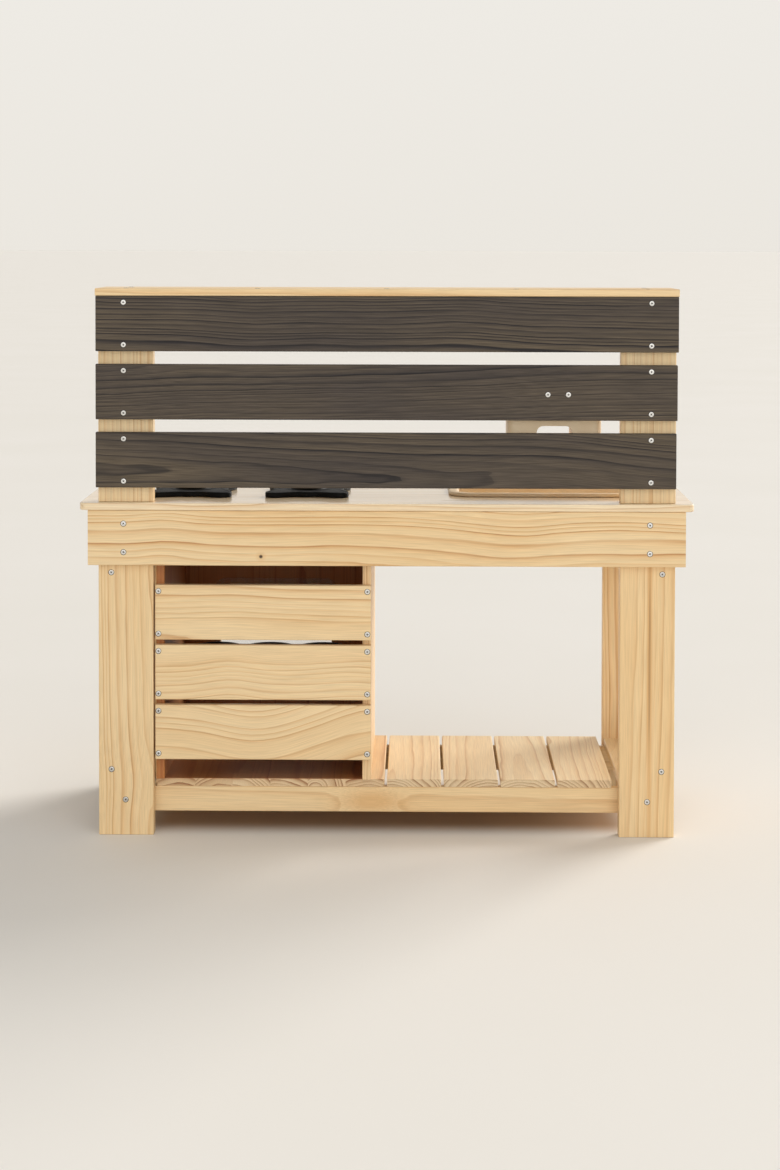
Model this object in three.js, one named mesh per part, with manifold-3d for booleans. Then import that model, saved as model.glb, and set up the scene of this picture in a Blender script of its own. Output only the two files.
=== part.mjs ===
// A child's outdoor mud kitchen in pine: a worktop with a lift-out sink, two burner plates,
// an oven with a glazed door, a slatted lower shelf and a boarded back with a top shelf.
// Units are millimetres. +Z is up, +X runs to the right of someone standing at the front,
// and the front faces -Y. The origin is on the floor, under the middle of the worktop.

import * as THREE from 'three';
import { mergeVertices } from 'three/addons/utils/BufferGeometryUtils.js';
import Module from 'manifold-3d';

const wasm = await Module();
wasm.setup();

// Finishes
const pine = { color: 0xe3c99c, roughness: 0.62, metalness: 0 };
const charcoalPine = { color: 0x4b423c, roughness: 0.6, metalness: 0 };
const zincSteel = { color: 0xc3c6c8, roughness: 0.35, metalness: 1 };
const blackSteel = { color: 0x1b1b1c, roughness: 0.45, metalness: 0.5 };
const blackPlastic = { color: 0x141414, roughness: 0.4, metalness: 0 };
const beigePlastic = { color: 0xd8bf9f, roughness: 0.45, metalness: 0 };
const clearAcrylic = { color: 0xe4eef0, roughness: 0.08, metalness: 0 };

// Timber sections
const boardWidth = 90;
const boardThickness = 15;
const legThickness = 24;
const panelThickness = 14.5;
const topThickness = 12;
const slatThickness = 13;
const railWidth = 42;
const easedEdge = 2;

// Clearances: faces that meet, pieces that rest, pieces that turn, and the reach of a cut
const seat = 0.2;
const rest = 0.3;
const running = 0.25;
const overrun = 5;

// The unit as a whole
const worktopLength = 1000;
const worktopDepth = 410;
const worktopHeight = 548;
const backHeight = 349;
const worktopCorner = 12;
const legInset = 29;
const backOverhang = 2;
const frontOverhang = 26;

// Lower shelf
const shelfHeight = 88.5;
const shelfGap = 4.5;
const shelfPanelReach = 22;
const shelfSlatCount = 4;
const shelfEndGap = 10;
const shelfBackOverhang = 2;
const shelfFrontOverhang = 12;
const lowerRailEase = 13.5;

// Side rails between the legs
const sideRailInset = 13.5;
const sideRailDrop = 83;
const sideRailGap = 11.7;

// Oven
const ovenWidth = 354;
const ovenLegGap = 2;
const ovenSlatEase = 1;
const ovenSlatGap = 8.5;
const ovenSlatCount = 3;
const ovenSlatDrop = 34.3;
const ovenSlatFootGap = 36;
const doorGap = 3;
const doorEdgeGap = 0.75;
const windowWidth = 198;
const windowDrop = 83;
const windowSill = 88.5;
const windowCorner = 22;
const paneLap = 12;
const paneThickness = 3;

// Boarded back and top shelf
const backBoardOverhang = 2;
const backBoardCount = 3;
const backBoardGapShare = 0.31437;
const topShelfOverhang = 3;
const topShelfDepth = 130;
const gussetSetback = 6.6;
const gussetHeight = 78;
const gussetToe = 14;

// Door handle
const handleLength = 116;
const handleReach = 26;
const handleRod = 9;
const handleInset = 34;

// Butt hinges of the door
const hingeHeight = 50;
const hingeLeafWidth = 27;
const hingeLeafThickness = 1.6;
const hingeKnuckleRadius = 3.2;
const hingePinRadius = 1.6;
const hingeEndMargin = 52;
const hingeHeadHeight = 1.5;

// Oven rack and its three-well tray
const rackRod = 5;
const rackWire = 3.5;
const rackWireCount = 9;
const rackLift = 158.5;
const rackEndGap = 29.55;
const rackSideGap = 2.5;
const cleatSize = 12;
const wellCount = 3;
const wellGap = 5;
const wellTaper = 8.5;
const wellDepth = 27;
const traySideGap = 30;
const traySheet = 2;
const trayRim = 5;
const trayBridge = 46;

// Burner plates
const burnerReach = 69.5;
const burnerThickness = 8.5;
const burnerBackGap = 75;
const burnerLeftGapShare = 0.716738;
const burnerMiddleGapShare = 0.240343;
const burnerCapRadius = 30;
const burnerCapHeight = 3.5;
const burnerSquareShare = 0.242;
const burnerWaveShare = 0.091;
const burnerOutlineSteps = 72;

// Sink basin
const basinEndGap = 47;
const basinOvenGap = 128;
const basinFrontGap = 63;
const basinAngleGap = 15.6;
const basinBowlDepth = 84;
const basinCorner = 42;
const basinRimWidth = 15;
const basinRimHeight = 6;
const basinWall = 3;
const basinTaper = 9;
const basinFloorRound = 10;
const basinHoleGap = 1.2;

// Hanging water tank and its bracket
const tankWidth = 154;
const tankDepth = 80;
const tankPostGap = 30;
const tankLift = 42;
const tankWall = 3;
const tankCorner = 13;
const archWidth = 58;
const archHeight = 83;
const archCorner = 11;
const archCrown = 7;
const bracketWidth = 60;
const bracketSheet = 2;
const bracketScrewDrop = 47.8;
const bracketTail = 20;
const bracketRise = 12;
const hangerGap = 6;
const hangerWidth = 52;
const hangerLipGap = 1.3;
const hangerRise = 34;
const hangerWall = 2.5;

// Tap on the tank
const tapRise = 19;
const tapShankRadius = 6;
const tapBarrelRadius = 8;
const tapBarrelLength = 27;
const tapFlangeRadius = 12;
const tapFlangeThickness = 3;
const tapSpoutRadius = 6;
const tapSpoutBore = 3.5;
const tapSpoutDrop = 18;
const tapNeckRadius = 6.5;
const tapNeckRise = 13;
const leverHubRadius = 8;
const leverHubHeight = 7;
const leverLength = 34;
const leverWidth = 9;
const leverThickness = 4.5;

// Hook rail on the top back board
const hookCount = 6;
const hookPitch = 89;
const hookEndGap = 136;
const hookStripHeight = 24;
const hookStripThickness = 2.5;
const hookStripEnd = 20;
const hookStripDrop = 46.8;
const hookWire = 4;
const hookReach = 22;
const hookRise = 12;
const hookBend = 7;

// Angle brackets at the feet of the posts
const angleWidth = 36;
const angleLeg = 40;
const angleSheet = 2.5;

// Turning knobs on the front apron
const knobRadius = 22;
const knobTipRadius = 19;
const knobDepth = 20;
const knobRound = 3;
const knobSpindleRadius = 3;
const knobSpindleLength = 11;
const knobGripCount = 8;
const knobGripRadius = 6;
const knobGripBite = 2;

// Facet counts
const edgeFacets = 2;
const cornerFacets = 6;
const roundFacets = 20;
const smallFacets = 12;
const wireFacets = 6;
const bendSteps = 4;

// Places worked out from the sizes above
const backEdge = worktopDepth / 2;
const frontEdge = -worktopDepth / 2;
const apronBackY = backEdge - backOverhang;
const boardFrontY = apronBackY - boardThickness;
const legBackY = boardFrontY - seat;
const legBackInnerY = legBackY - legThickness;
const apronFrontY = frontEdge + frontOverhang;
const apronFrontInnerY = apronFrontY + boardThickness;
const legFrontY = apronFrontInnerY + seat;
const legFrontInnerY = legFrontY + legThickness;
const legOuterX = worktopLength / 2 - legInset;
const legInnerX = legOuterX - boardWidth;
const apronSideX = legOuterX + seat;
const apronEndX = apronSideX + boardThickness;
const undersideZ = worktopHeight - topThickness;
const frameTopZ = undersideZ - seat;
const apronBottomZ = frameTopZ - boardWidth;
const shelfTopZ = shelfHeight;
const shelfUnderZ = shelfTopZ - slatThickness;
const railTopZ = shelfUnderZ - seat;
const shelfBackY = legBackInnerY - seat + shelfBackOverhang;
const shelfFrontY = legFrontInnerY + seat - shelfFrontOverhang;
const railBackY = legBackInnerY - seat;
const railFrontY = legFrontInnerY + seat;
const sideRailX = legOuterX - sideRailInset;
const lowerSideRailZ = railTopZ + sideRailGap;
const ovenOuterX = legInnerX - ovenLegGap;
const ovenInnerX = ovenOuterX - ovenWidth;
const ovenInsideWidth = ovenWidth - panelThickness * 2;
const shelfPanelX = ovenInnerX - shelfPanelReach;
const shelfSlatPitch = (shelfPanelX + legInnerX - shelfEndGap) / shelfSlatCount;
const shelfSlatWidth = shelfSlatPitch - shelfGap;
const ovenCentreX = (ovenOuterX + ovenInnerX) / 2;
const doorFrontY = legFrontY;
const doorBackY = doorFrontY + boardThickness;
const panelFrontY = doorBackY + rest;
const panelBackY = legBackY - boardThickness - seat;
const doorBottomZ = shelfTopZ + doorGap;
const doorTopZ = apronBottomZ - doorGap;
const windowTopZ = doorTopZ - windowDrop;
const windowHeight = windowTopZ - doorBottomZ - windowSill;
const ovenSlatTopZ = apronBottomZ - ovenSlatDrop;
const ovenSlatsHeight = ovenSlatTopZ - shelfTopZ - ovenSlatFootGap;
const ovenSlatPitch = (ovenSlatsHeight + ovenSlatGap) / ovenSlatCount;
const ovenSlatWidth = ovenSlatPitch - ovenSlatGap;
const rackZ = shelfTopZ + rackLift;
const rackDepth = panelBackY - panelFrontY - rackEndGap * 2;
const wellsWidth = ovenInsideWidth - traySideGap * 2 - wellGap * (wellCount - 1);
const wellRadius = wellsWidth / wellCount / 2 - trayRim;
const wellBaseRadius = wellRadius - wellTaper;
const wellPitch = (wellRadius + trayRim) * 2 + wellGap;
const topShelfTopZ = worktopHeight + backHeight;
const topShelfUnderZ = topShelfTopZ - topThickness;
const backBoardTopZ = topShelfUnderZ - seat;
const backBoardEndX = legOuterX + backBoardOverhang;
const backBoardsFreeHeight = backBoardTopZ - worktopHeight - boardWidth * backBoardCount;
const backBoardPitch = boardWidth + backBoardsFreeHeight * backBoardGapShare;
const gussetDepth = legBackInnerY - seat - apronBackY + topShelfDepth - gussetSetback;
const hingeAxisX = ovenOuterX + doorEdgeGap;
const hingeAxisY = doorFrontY - seat - hingeKnuckleRadius;
const tankBackY = boardFrontY - seat - bracketSheet - hangerGap - bracketSheet - rest;
const tankFrontY = tankBackY - tankDepth;
const tankBottomZ = worktopHeight + tankLift;
const archTopZ = tankBottomZ + archHeight;
const tankFloorZ = archTopZ + archCrown;
const tapZ = tankFloorZ + tapRise;
const bracketScrewZ = backBoardTopZ - backBoardPitch - bracketScrewDrop;
const tankTopZ = bracketScrewZ + hangerRise;
const tankCentreX = tankPostGap + tankWidth / 2 - legInnerX;
const hangerDrop = bracketRise + rest - hangerLipGap;
const postCentreX = (legInnerX + legOuterX) / 2;
const basinLeftX = basinEndGap - worktopLength / 2;
const basinRightX = ovenInnerX - basinOvenGap;
const basinFrontY = frontEdge + basinFrontGap;
const basinBackY = legBackInnerY - seat - angleLeg - basinAngleGap;
const basinWidth = basinRightX - basinLeftX;
const basinLength = basinBackY - basinFrontY;
const basinCentreX = (basinLeftX + basinRightX) / 2;
const basinCentreY = (basinFrontY + basinBackY) / 2;
const burnerFreeX = postCentreX - angleWidth / 2 - basinRightX - burnerReach * 4;
const burnerLeftX = basinRightX + burnerFreeX * burnerLeftGapShare + burnerReach;
const burnerRightX = burnerLeftX + burnerFreeX * burnerMiddleGapShare + burnerReach * 2;

const kitchen = new THREE.Group();

// Adds one named piece, with a material of its own, at a place in the kitchen.
function addPiece(name, geometry, finish, x = 0, y = 0, z = 0) {
  const mesh = new THREE.Mesh(geometry, new THREE.MeshStandardMaterial(finish));
  mesh.name = name;
  mesh.position.set(x, y, z);
  kitchen.add(mesh);
  return mesh;
}

// Turns a closed three.js geometry into a solid that can be joined and cut.
function toSolid(geometry) {
  const bare = geometry.clone();
  bare.deleteAttribute('normal');
  bare.deleteAttribute('uv');
  const merged = mergeVertices(bare);
  return new wasm.Manifold(new wasm.Mesh({
    numProp: 3,
    vertProperties: new Float32Array(merged.attributes.position.array),
    triVerts: new Uint32Array(merged.index.array),
  }));
}

// Turns a solid back into a geometry.
function toGeometry(solid) {
  const mesh = solid.getMesh();
  const geometry = new THREE.BufferGeometry();
  geometry.setAttribute('position', new THREE.BufferAttribute(mesh.vertProperties, 3));
  geometry.setIndex(new THREE.BufferAttribute(mesh.triVerts, 1));
  geometry.computeVertexNormals();
  return geometry;
}

// Joins solids into one.
function joined(solids) {
  return solids.reduce((sum, solid) => sum.add(solid));
}

// A block between two corners, as a solid.
function block([x0, x1], [y0, y1], [z0, z1]) {
  const box = new THREE.BoxGeometry(x1 - x0, y1 - y0, z1 - z0);
  return toSolid(box.translate((x0 + x1) / 2, (y0 + y1) / 2, (z0 + z1) / 2));
}

// An upright cylinder from z0 to z1, as a solid.
function post(radius, x, y, [z0, z1], facets = smallFacets) {
  const cylinder = new THREE.CylinderGeometry(radius, radius, z1 - z0, facets);
  return toSolid(cylinder.rotateX(Math.PI / 2).translate(x, y, (z0 + z1) / 2));
}

// A cylinder lying along Y from y0 to y1, as a solid.
function barrel(radius, x, z, [y0, y1], facets = smallFacets) {
  const cylinder = new THREE.CylinderGeometry(radius, radius, y1 - y0, facets);
  return toSolid(cylinder.translate(x, (y0 + y1) / 2, z));
}

// A rectangle with round corners, centred on the origin.
function roundedRectangle(width, height, radius) {
  const x = width / 2;
  const y = height / 2;
  const shape = new THREE.Shape();
  shape.moveTo(x - radius, -y);
  shape.absarc(x - radius, radius - y, radius, -Math.PI / 2, 0);
  shape.absarc(x - radius, y - radius, radius, 0, Math.PI / 2);
  shape.absarc(radius - x, y - radius, radius, Math.PI / 2, Math.PI);
  shape.absarc(radius - x, radius - y, radius, Math.PI, Math.PI * 1.5);
  return shape;
}

// An outline pulled up from z = 0 by a height.
function slab(shape, height, curveSegments) {
  return new THREE.ExtrudeGeometry(shape, { depth: height, bevelEnabled: false, curveSegments });
}

// The planed section of a board, its long edges eased, run along the grain axis.
function plankGeometry(size, grain) {
  const across = { x: ['y', 'z'], y: ['z', 'x'], z: ['x', 'y'] }[grain];
  const section = roundedRectangle(size[across[0]], size[across[1]], easedEdge);
  const geometry = slab(section, size[grain], edgeFacets).translate(0, 0, -size[grain] / 2);
  const axis = (letter) => new THREE.Vector3().setComponent('xyz'.indexOf(letter), 1);
  const turn = new THREE.Matrix4().makeBasis(axis(across[0]), axis(across[1]), axis(grain));
  return geometry.applyMatrix4(turn);
}

// A board between two corners, with its grain along one axis.
function addPlank(name, [x0, x1], [y0, y1], [z0, z1], grain, finish = pine) {
  const size = { x: x1 - x0, y: y1 - y0, z: z1 - z0 };
  addPiece(name, plankGeometry(size, grain), finish, (x0 + x1) / 2, (y0 + y1) / 2, (z0 + z1) / 2);
}

// The points of a rounded rectangle, anticlockwise, at one height.
function ringPoints({ width, depth, radius, z }) {
  const points = [];
  for (let corner = 0; corner < 4; corner += 1) {
    const signX = corner === 0 || corner === 3 ? 1 : -1;
    const signY = corner < 2 ? 1 : -1;
    for (let step = 0; step <= cornerFacets; step += 1) {
      const angle = (corner + step / cornerFacets) * Math.PI / 2;
      const x = signX * (width / 2 - radius) + radius * Math.cos(angle);
      const y = signY * (depth / 2 - radius) + radius * Math.sin(angle);
      points.push([x, y, z]);
    }
  }
  return points;
}

// A closed skin through a list of rings, from the middle of the first to the middle of the last.
function ringSkin(rings) {
  const loops = rings.map(ringPoints);
  const perRing = loops[0].length;
  const positions = loops.flat(2);
  const startPole = loops.length * perRing;
  positions.push(0, 0, rings[0].z, 0, 0, rings[rings.length - 1].z);
  const faces = [];
  for (let point = 0; point < perRing; point += 1) {
    const next = (point + 1) % perRing;
    faces.push(startPole, next, point);
    for (let ring = 0; ring < loops.length - 1; ring += 1) {
      const low = ring * perRing;
      const high = low + perRing;
      faces.push(low + point, low + next, high + next, low + point, high + next, high + point);
    }
    const last = (loops.length - 1) * perRing;
    faces.push(startPole + 1, last + point, last + next);
  }
  const geometry = new THREE.BufferGeometry();
  geometry.setAttribute('position', new THREE.Float32BufferAttribute(positions, 3));
  geometry.setIndex(faces);
  geometry.computeVertexNormals();
  return geometry;
}

// A round rod of a few sides along a line of straight runs and bends.
function rodGeometry(points, diameter, bend, facets = wireFacets) {
  const path = new THREE.CurvePath();
  let start = points[0];
  for (let index = 1; index < points.length - 1; index += 1) {
    const corner = points[index];
    const before = corner.clone().add(points[index - 1].clone().sub(corner).setLength(bend));
    const after = corner.clone().add(points[index + 1].clone().sub(corner).setLength(bend));
    path.add(new THREE.LineCurve3(start, before));
    path.add(new THREE.QuadraticBezierCurve3(before, corner, after));
    start = after;
  }
  path.add(new THREE.LineCurve3(start, points[points.length - 1]));
  const section = new THREE.Shape(ringOfPoints(diameter / 2, facets));
  return new THREE.ExtrudeGeometry(section, { extrudePath: path, steps: bendSteps * points.length * 2 });
}

// The corners of a regular polygon, as the section of a rod.
function ringOfPoints(radius, count) {
  return Array.from({ length: count }, (_, index) => {
    const angle = (index / count) * Math.PI * 2;
    return new THREE.Vector2(radius * Math.cos(angle), radius * Math.sin(angle));
  });
}

// Calls a function for the left and the right side, with the sign of X there.
function forBothSides(build) {
  build('left', -1);
  build('right', 1);
}

// An X or Y range mirrored with the side it is on, low value first.
function sided(side, near, far) {
  return side > 0 ? [near, far] : [-far, -near];
}

// Legs, aprons and rails
function addLegs() {
  forBothSides((word, side) => {
    const x = sided(side, legInnerX, legOuterX);
    addPlank(`leg_back_${word}`, x, [legBackInnerY, legBackY], [0, frameTopZ], 'z');
    addPlank(`leg_front_${word}`, x, [legFrontY, legFrontInnerY], [0, frameTopZ], 'z');
  });
}

function addAprons() {
  const z = [apronBottomZ, frameTopZ];
  addPlank('apron_back', [-apronEndX, apronEndX], [boardFrontY, apronBackY], z, 'x');
  forBothSides((word, side) => {
    const x = sided(side, apronSideX, apronEndX);
    addPlank(`apron_${word}`, x, [apronFrontInnerY + seat, boardFrontY - seat], z, 'y');
  });
  const front = plankGeometry({ x: apronEndX * 2, y: boardThickness, z: boardWidth }, 'x');
  const centreY = (apronFrontY + apronFrontInnerY) / 2;
  const centreZ = (apronBottomZ + frameTopZ) / 2;
  const holes = [burnerLeftX, burnerRightX].map(
    (x) => barrel(knobSpindleRadius + running, x, 0, [-boardThickness, boardThickness]),
  );
  const bored = toSolid(front).subtract(joined(holes));
  addPiece('apron_front', toGeometry(bored), pine, 0, centreY, centreZ);
}

function addRails() {
  const railEnd = legOuterX - lowerRailEase;
  const z = [railTopZ - railWidth, railTopZ];
  addPlank('rail_lower_back', [-railEnd, railEnd], [railBackY - boardThickness, railBackY], z, 'x');
  addPlank('rail_lower_front', [-railEnd, railEnd], [railFrontY, railFrontY + boardThickness], z, 'x');
  const y = [railFrontY, railBackY];
  forBothSides((word, side) => {
    const x = sided(side, sideRailX - boardThickness, sideRailX);
    const upperTop = frameTopZ - sideRailDrop;
    addPlank(`rail_upper_${word}`, x, y, [upperTop - railWidth, upperTop], 'y');
    addPlank(`rail_lower_${word}`, x, y, [lowerSideRailZ, lowerSideRailZ + railWidth], 'y');
  });
}

// Worktop with its sink cut-out
function addWorktop() {
  const outline = roundedRectangle(worktopLength, worktopDepth, worktopCorner);
  const hole = basinOutline(basinRimWidth - basinHoleGap).getPoints(cornerFacets);
  const moved = hole.map((point) => point.add(new THREE.Vector2(basinCentreX, basinCentreY)));
  outline.holes.push(new THREE.Path(moved));
  addPiece('worktop', slab(outline, topThickness, cornerFacets), pine, 0, 0, undersideZ);
}

// Lower shelf: a glued panel under the oven, then slats with gaps, and a narrow slat by each leg
function addShelf() {
  const y = [shelfFrontY, shelfBackY];
  const z = [shelfUnderZ, shelfTopZ];
  addPlank('shelf_panel', [shelfPanelX, ovenOuterX], y, z, 'y');
  for (let index = 0; index < shelfSlatCount; index += 1) {
    const high = shelfPanelX - shelfGap - index * shelfSlatPitch;
    addPlank(`shelf_slat_${index + 1}`, [high - shelfSlatWidth, high], y, z, 'y');
  }
  forBothSides((word, side) => {
    const x = sided(side, legInnerX + shelfGap / 2, sideRailX - boardThickness - rest);
    addPlank(`shelf_end_slat_${word}`, x, [railFrontY, railBackY], z, 'y');
  });
}

// Oven carcass
function addOvenCarcass() {
  const y = [panelFrontY, panelBackY];
  const sideZ = [shelfTopZ + seat, frameTopZ];
  addPlank('oven_side_inner', [ovenInnerX, ovenInnerX + panelThickness], y, sideZ, 'z');
  addPlank('oven_side_outer', [ovenOuterX - panelThickness, ovenOuterX], y, sideZ, 'z');
  for (let index = 0; index < ovenSlatCount; index += 1) {
    const top = ovenSlatTopZ - index * ovenSlatPitch;
    const x = [ovenInnerX, ovenOuterX - ovenSlatEase];
    const z = [top - ovenSlatWidth, top];
    addPlank(`oven_back_slat_${index + 1}`, x, [panelBackY + seat, legBackY], z, 'x');
  }
}

// Oven rack on its cleats, with the tray that stands on it
function rackCentreY() {
  return (panelFrontY + panelBackY) / 2;
}

function addRack() {
  const innerFace = ovenInnerX + panelThickness;
  const outerFace = ovenOuterX - panelThickness;
  const cleatTop = rackZ - rackRod / 2 - rest;
  const cleatZ = [cleatTop - cleatSize, cleatTop];
  const y = [rackCentreY() - rackDepth / 2, rackCentreY() + rackDepth / 2];
  addPlank('rack_cleat_inner', [innerFace + seat, innerFace + cleatSize], y, cleatZ, 'y');
  addPlank('rack_cleat_outer', [outerFace - cleatSize, outerFace - seat], y, cleatZ, 'y');

  const halfX = (outerFace - innerFace) / 2 - rackSideGap - rackRod / 2;
  const halfY = rackDepth / 2 - rackRod / 2;
  const solids = [-halfY, halfY].map((offset) => toSolid(
    new THREE.CylinderGeometry(rackRod / 2, rackRod / 2, halfX * 2 + rackRod, wireFacets)
      .rotateZ(Math.PI / 2).translate(0, offset, 0),
  ));
  [-halfX, halfX].forEach((x) => solids.push(barrel(rackRod / 2, x, 0, [-halfY, halfY], wireFacets)));
  for (let index = 1; index <= rackWireCount; index += 1) {
    const x = -halfX + (index * halfX * 2) / (rackWireCount + 1);
    solids.push(barrel(rackWire / 2, x, (rackRod - rackWire) / 2, [-halfY, halfY], wireFacets));
  }
  addPiece('oven_rack', toGeometry(joined(solids)), blackSteel, ovenCentreX, rackCentreY(), rackZ);
}

// The outside of one well, or its hollow when it is drawn in by a wall.
function taperedCup(x, wall, [z0, z1]) {
  const cone = new THREE.CylinderGeometry(wellRadius - wall, wellBaseRadius - wall, z1 - z0, roundFacets);
  return toSolid(cone.rotateX(Math.PI / 2).translate(x, 0, (z0 + z1) / 2));
}

function addTray() {
  const centres = Array.from({ length: wellCount }, (_, index) => (index - (wellCount - 1) / 2) * wellPitch);
  const sheetZ = [wellDepth, wellDepth + traySheet];
  const sheetParts = centres.map((x) => post(wellRadius + trayRim, x, 0, sheetZ, roundFacets));
  const bridgeEnd = centres[wellCount - 1];
  sheetParts.push(block([-bridgeEnd, bridgeEnd], [-trayBridge / 2, trayBridge / 2], sheetZ));
  const cups = centres.map((x) => taperedCup(x, 0, [0, wellDepth + traySheet / 2]));
  const hollows = centres.map((x) => taperedCup(x, traySheet, [traySheet, wellDepth + traySheet + overrun]));
  const tray = joined([...sheetParts, ...cups]).subtract(joined(hollows));
  const standZ = rackZ + rackRod / 2 + rest;
  addPiece('oven_tray', toGeometry(tray), blackSteel, ovenCentreX, rackCentreY(), standZ);
}

// Oven door with its window, pane, handle and hinges
function addDoor() {
  const x = [ovenInnerX + doorEdgeGap, ovenOuterX - doorEdgeGap];
  const width = x[1] - x[0];
  const height = doorTopZ - doorBottomZ;
  const centreX = (x[0] + x[1]) / 2;
  const centreZ = (doorBottomZ + doorTopZ) / 2;
  const windowZ = windowTopZ - windowHeight / 2;
  const outline = roundedRectangle(width, height, easedEdge);
  const opening = roundedRectangle(windowWidth, windowHeight, windowCorner).getPoints(cornerFacets);
  const moved = opening.map((point) => new THREE.Vector2(point.x, point.y + windowZ - centreZ));
  outline.holes.push(new THREE.Path(moved));
  const leaf = slab(outline, boardThickness, cornerFacets).rotateX(Math.PI / 2);
  addPiece('oven_door', leaf, pine, centreX, doorBackY, centreZ);

  const paneShape = roundedRectangle(windowWidth + paneLap * 2, windowHeight + paneLap * 2, windowCorner);
  const pane = slab(paneShape, paneThickness, cornerFacets).rotateX(Math.PI / 2);
  addPiece('window_pane', pane, clearAcrylic, centreX, doorBackY + seat + paneThickness, windowZ);

  const handleX = x[0] + handleInset;
  const half = handleLength / 2 - handleRod / 2;
  const reach = handleReach - handleRod / 2;
  const handle = rodGeometry([
    new THREE.Vector3(0, 0, -half),
    new THREE.Vector3(0, -reach, -half),
    new THREE.Vector3(0, -reach, half),
    new THREE.Vector3(0, 0, half),
  ], handleRod, handleRod, smallFacets);
  addPiece('door_handle', handle, blackSteel, handleX, doorFrontY - seat, centreZ);
}

// One leaf of a butt hinge: a flat plate whose knuckles wrap the pin.
function hingeLeaf(side, knuckles) {
  const plateInner = side * (hingeKnuckleRadius + running * 2);
  const plateX = [plateInner, side * (hingeKnuckleRadius + hingeLeafWidth)].sort((a, b) => a - b);
  const plateY = [hingeKnuckleRadius - hingeLeafThickness, hingeKnuckleRadius];
  const parts = [block(plateX, plateY, [-hingeHeight / 2, hingeHeight / 2])];
  knuckles.forEach(([low, high]) => {
    const tongueX = [0, plateInner + side * running].sort((a, b) => a - b);
    parts.push(block(tongueX, plateY, [low, high]));
    parts.push(post(hingeKnuckleRadius, 0, 0, [low, high]));
  });
  const bore = post(hingePinRadius + running, 0, 0, [-hingeHeight, hingeHeight]);
  return toGeometry(joined(parts).subtract(bore));
}

function addHinges() {
  const third = hingeHeight / 6;
  const frameKnuckles = [[-hingeHeight / 2, -third - running], [third + running, hingeHeight / 2]];
  const doorKnuckles = [[running - third, third - running]];
  const pinHalf = hingeHeight / 2 + rest;
  const places = { upper: doorTopZ - hingeEndMargin, lower: doorBottomZ + hingeEndMargin };
  Object.entries(places).forEach(([word, z]) => {
    const at = [hingeAxisX, hingeAxisY, z];
    addPiece(`hinge_${word}_frame_leaf`, hingeLeaf(1, frameKnuckles), zincSteel, ...at);
    addPiece(`hinge_${word}_door_leaf`, hingeLeaf(-1, doorKnuckles), zincSteel, ...at);
    const pin = joined([
      post(hingePinRadius, 0, 0, [-pinHalf, pinHalf]),
      post(hingeKnuckleRadius, 0, 0, [pinHalf, pinHalf + hingeHeadHeight]),
    ]);
    addPiece(`hinge_${word}_pin`, toGeometry(pin), zincSteel, ...at);
  });
}

// Boarded back: posts, stained boards, top shelf and its gussets, angle brackets at the worktop
function addBack() {
  forBothSides((word, side) => {
    const x = sided(side, legInnerX, legOuterX);
    const centreX = side * postCentreX;
    addPlank(`post_${word}`, x, [legBackInnerY, legBackY], [worktopHeight + seat, backBoardTopZ], 'z');

    const gusset = new THREE.Shape();
    gusset.moveTo(0, 0);
    gusset.lineTo(0, -gussetHeight);
    gusset.lineTo(gussetToe, -gussetHeight);
    gusset.quadraticCurveTo(gussetToe, -gussetToe, gussetDepth, -gussetToe);
    gusset.lineTo(gussetDepth, 0);
    const plate = slab(gusset, boardThickness, cornerFacets).translate(0, 0, -boardThickness / 2);
    plate.rotateX(Math.PI / 2).rotateZ(-Math.PI / 2);
    addPiece(`shelf_gusset_${word}`, plate, pine, centreX, legBackInnerY - seat, backBoardTopZ);

    const angle = joined([
      block([-angleWidth / 2, angleWidth / 2], [-angleSheet, 0], [0, angleLeg]),
      block([-angleWidth / 2, angleWidth / 2], [-angleLeg, 0], [0, angleSheet]),
    ]);
    const angleAt = [centreX, legBackInnerY - seat, worktopHeight + seat];
    addPiece(`post_angle_${word}`, toGeometry(angle), zincSteel, ...angleAt);
  });
  const x = [-backBoardEndX, backBoardEndX];
  for (let index = 0; index < backBoardCount; index += 1) {
    const top = backBoardTopZ - index * backBoardPitch;
    const z = [top - boardWidth, top];
    addPlank(`back_board_${index + 1}`, x, [boardFrontY, apronBackY], z, 'x', charcoalPine);
  }
  const shelfX = [-legOuterX - topShelfOverhang, legOuterX + topShelfOverhang];
  const shelfY = [apronBackY - topShelfDepth, apronBackY];
  addPlank('top_shelf', shelfX, shelfY, [topShelfUnderZ, topShelfTopZ], 'x');
}

// Hook rail: a steel strip with six bent hooks welded on
function addHookRail() {
  const length = (hookCount - 1) * hookPitch + hookStripEnd * 2;
  const half = hookStripHeight / 2;
  const parts = [block([-length / 2, length / 2], [-hookStripThickness, 0], [-half, half])];
  const reach = hookStripThickness + hookReach;
  for (let index = 0; index < hookCount; index += 1) {
    const x = (index - (hookCount - 1) / 2) * hookPitch;
    const hook = rodGeometry([
      new THREE.Vector3(x, -hookStripThickness / 2, hookWire / 2 - half),
      new THREE.Vector3(x, -reach, hookWire / 2 - half),
      new THREE.Vector3(x, -reach, hookWire / 2 - half + hookRise),
    ], hookWire, hookBend);
    parts.push(toSolid(hook));
  }
  const x = backBoardEndX - hookEndGap - ((hookCount - 1) * hookPitch) / 2;
  const z = backBoardTopZ - hookStripDrop;
  addPiece('hook_rail', toGeometry(joined(parts)), blackSteel, x, boardFrontY - seat, z);
}

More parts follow.
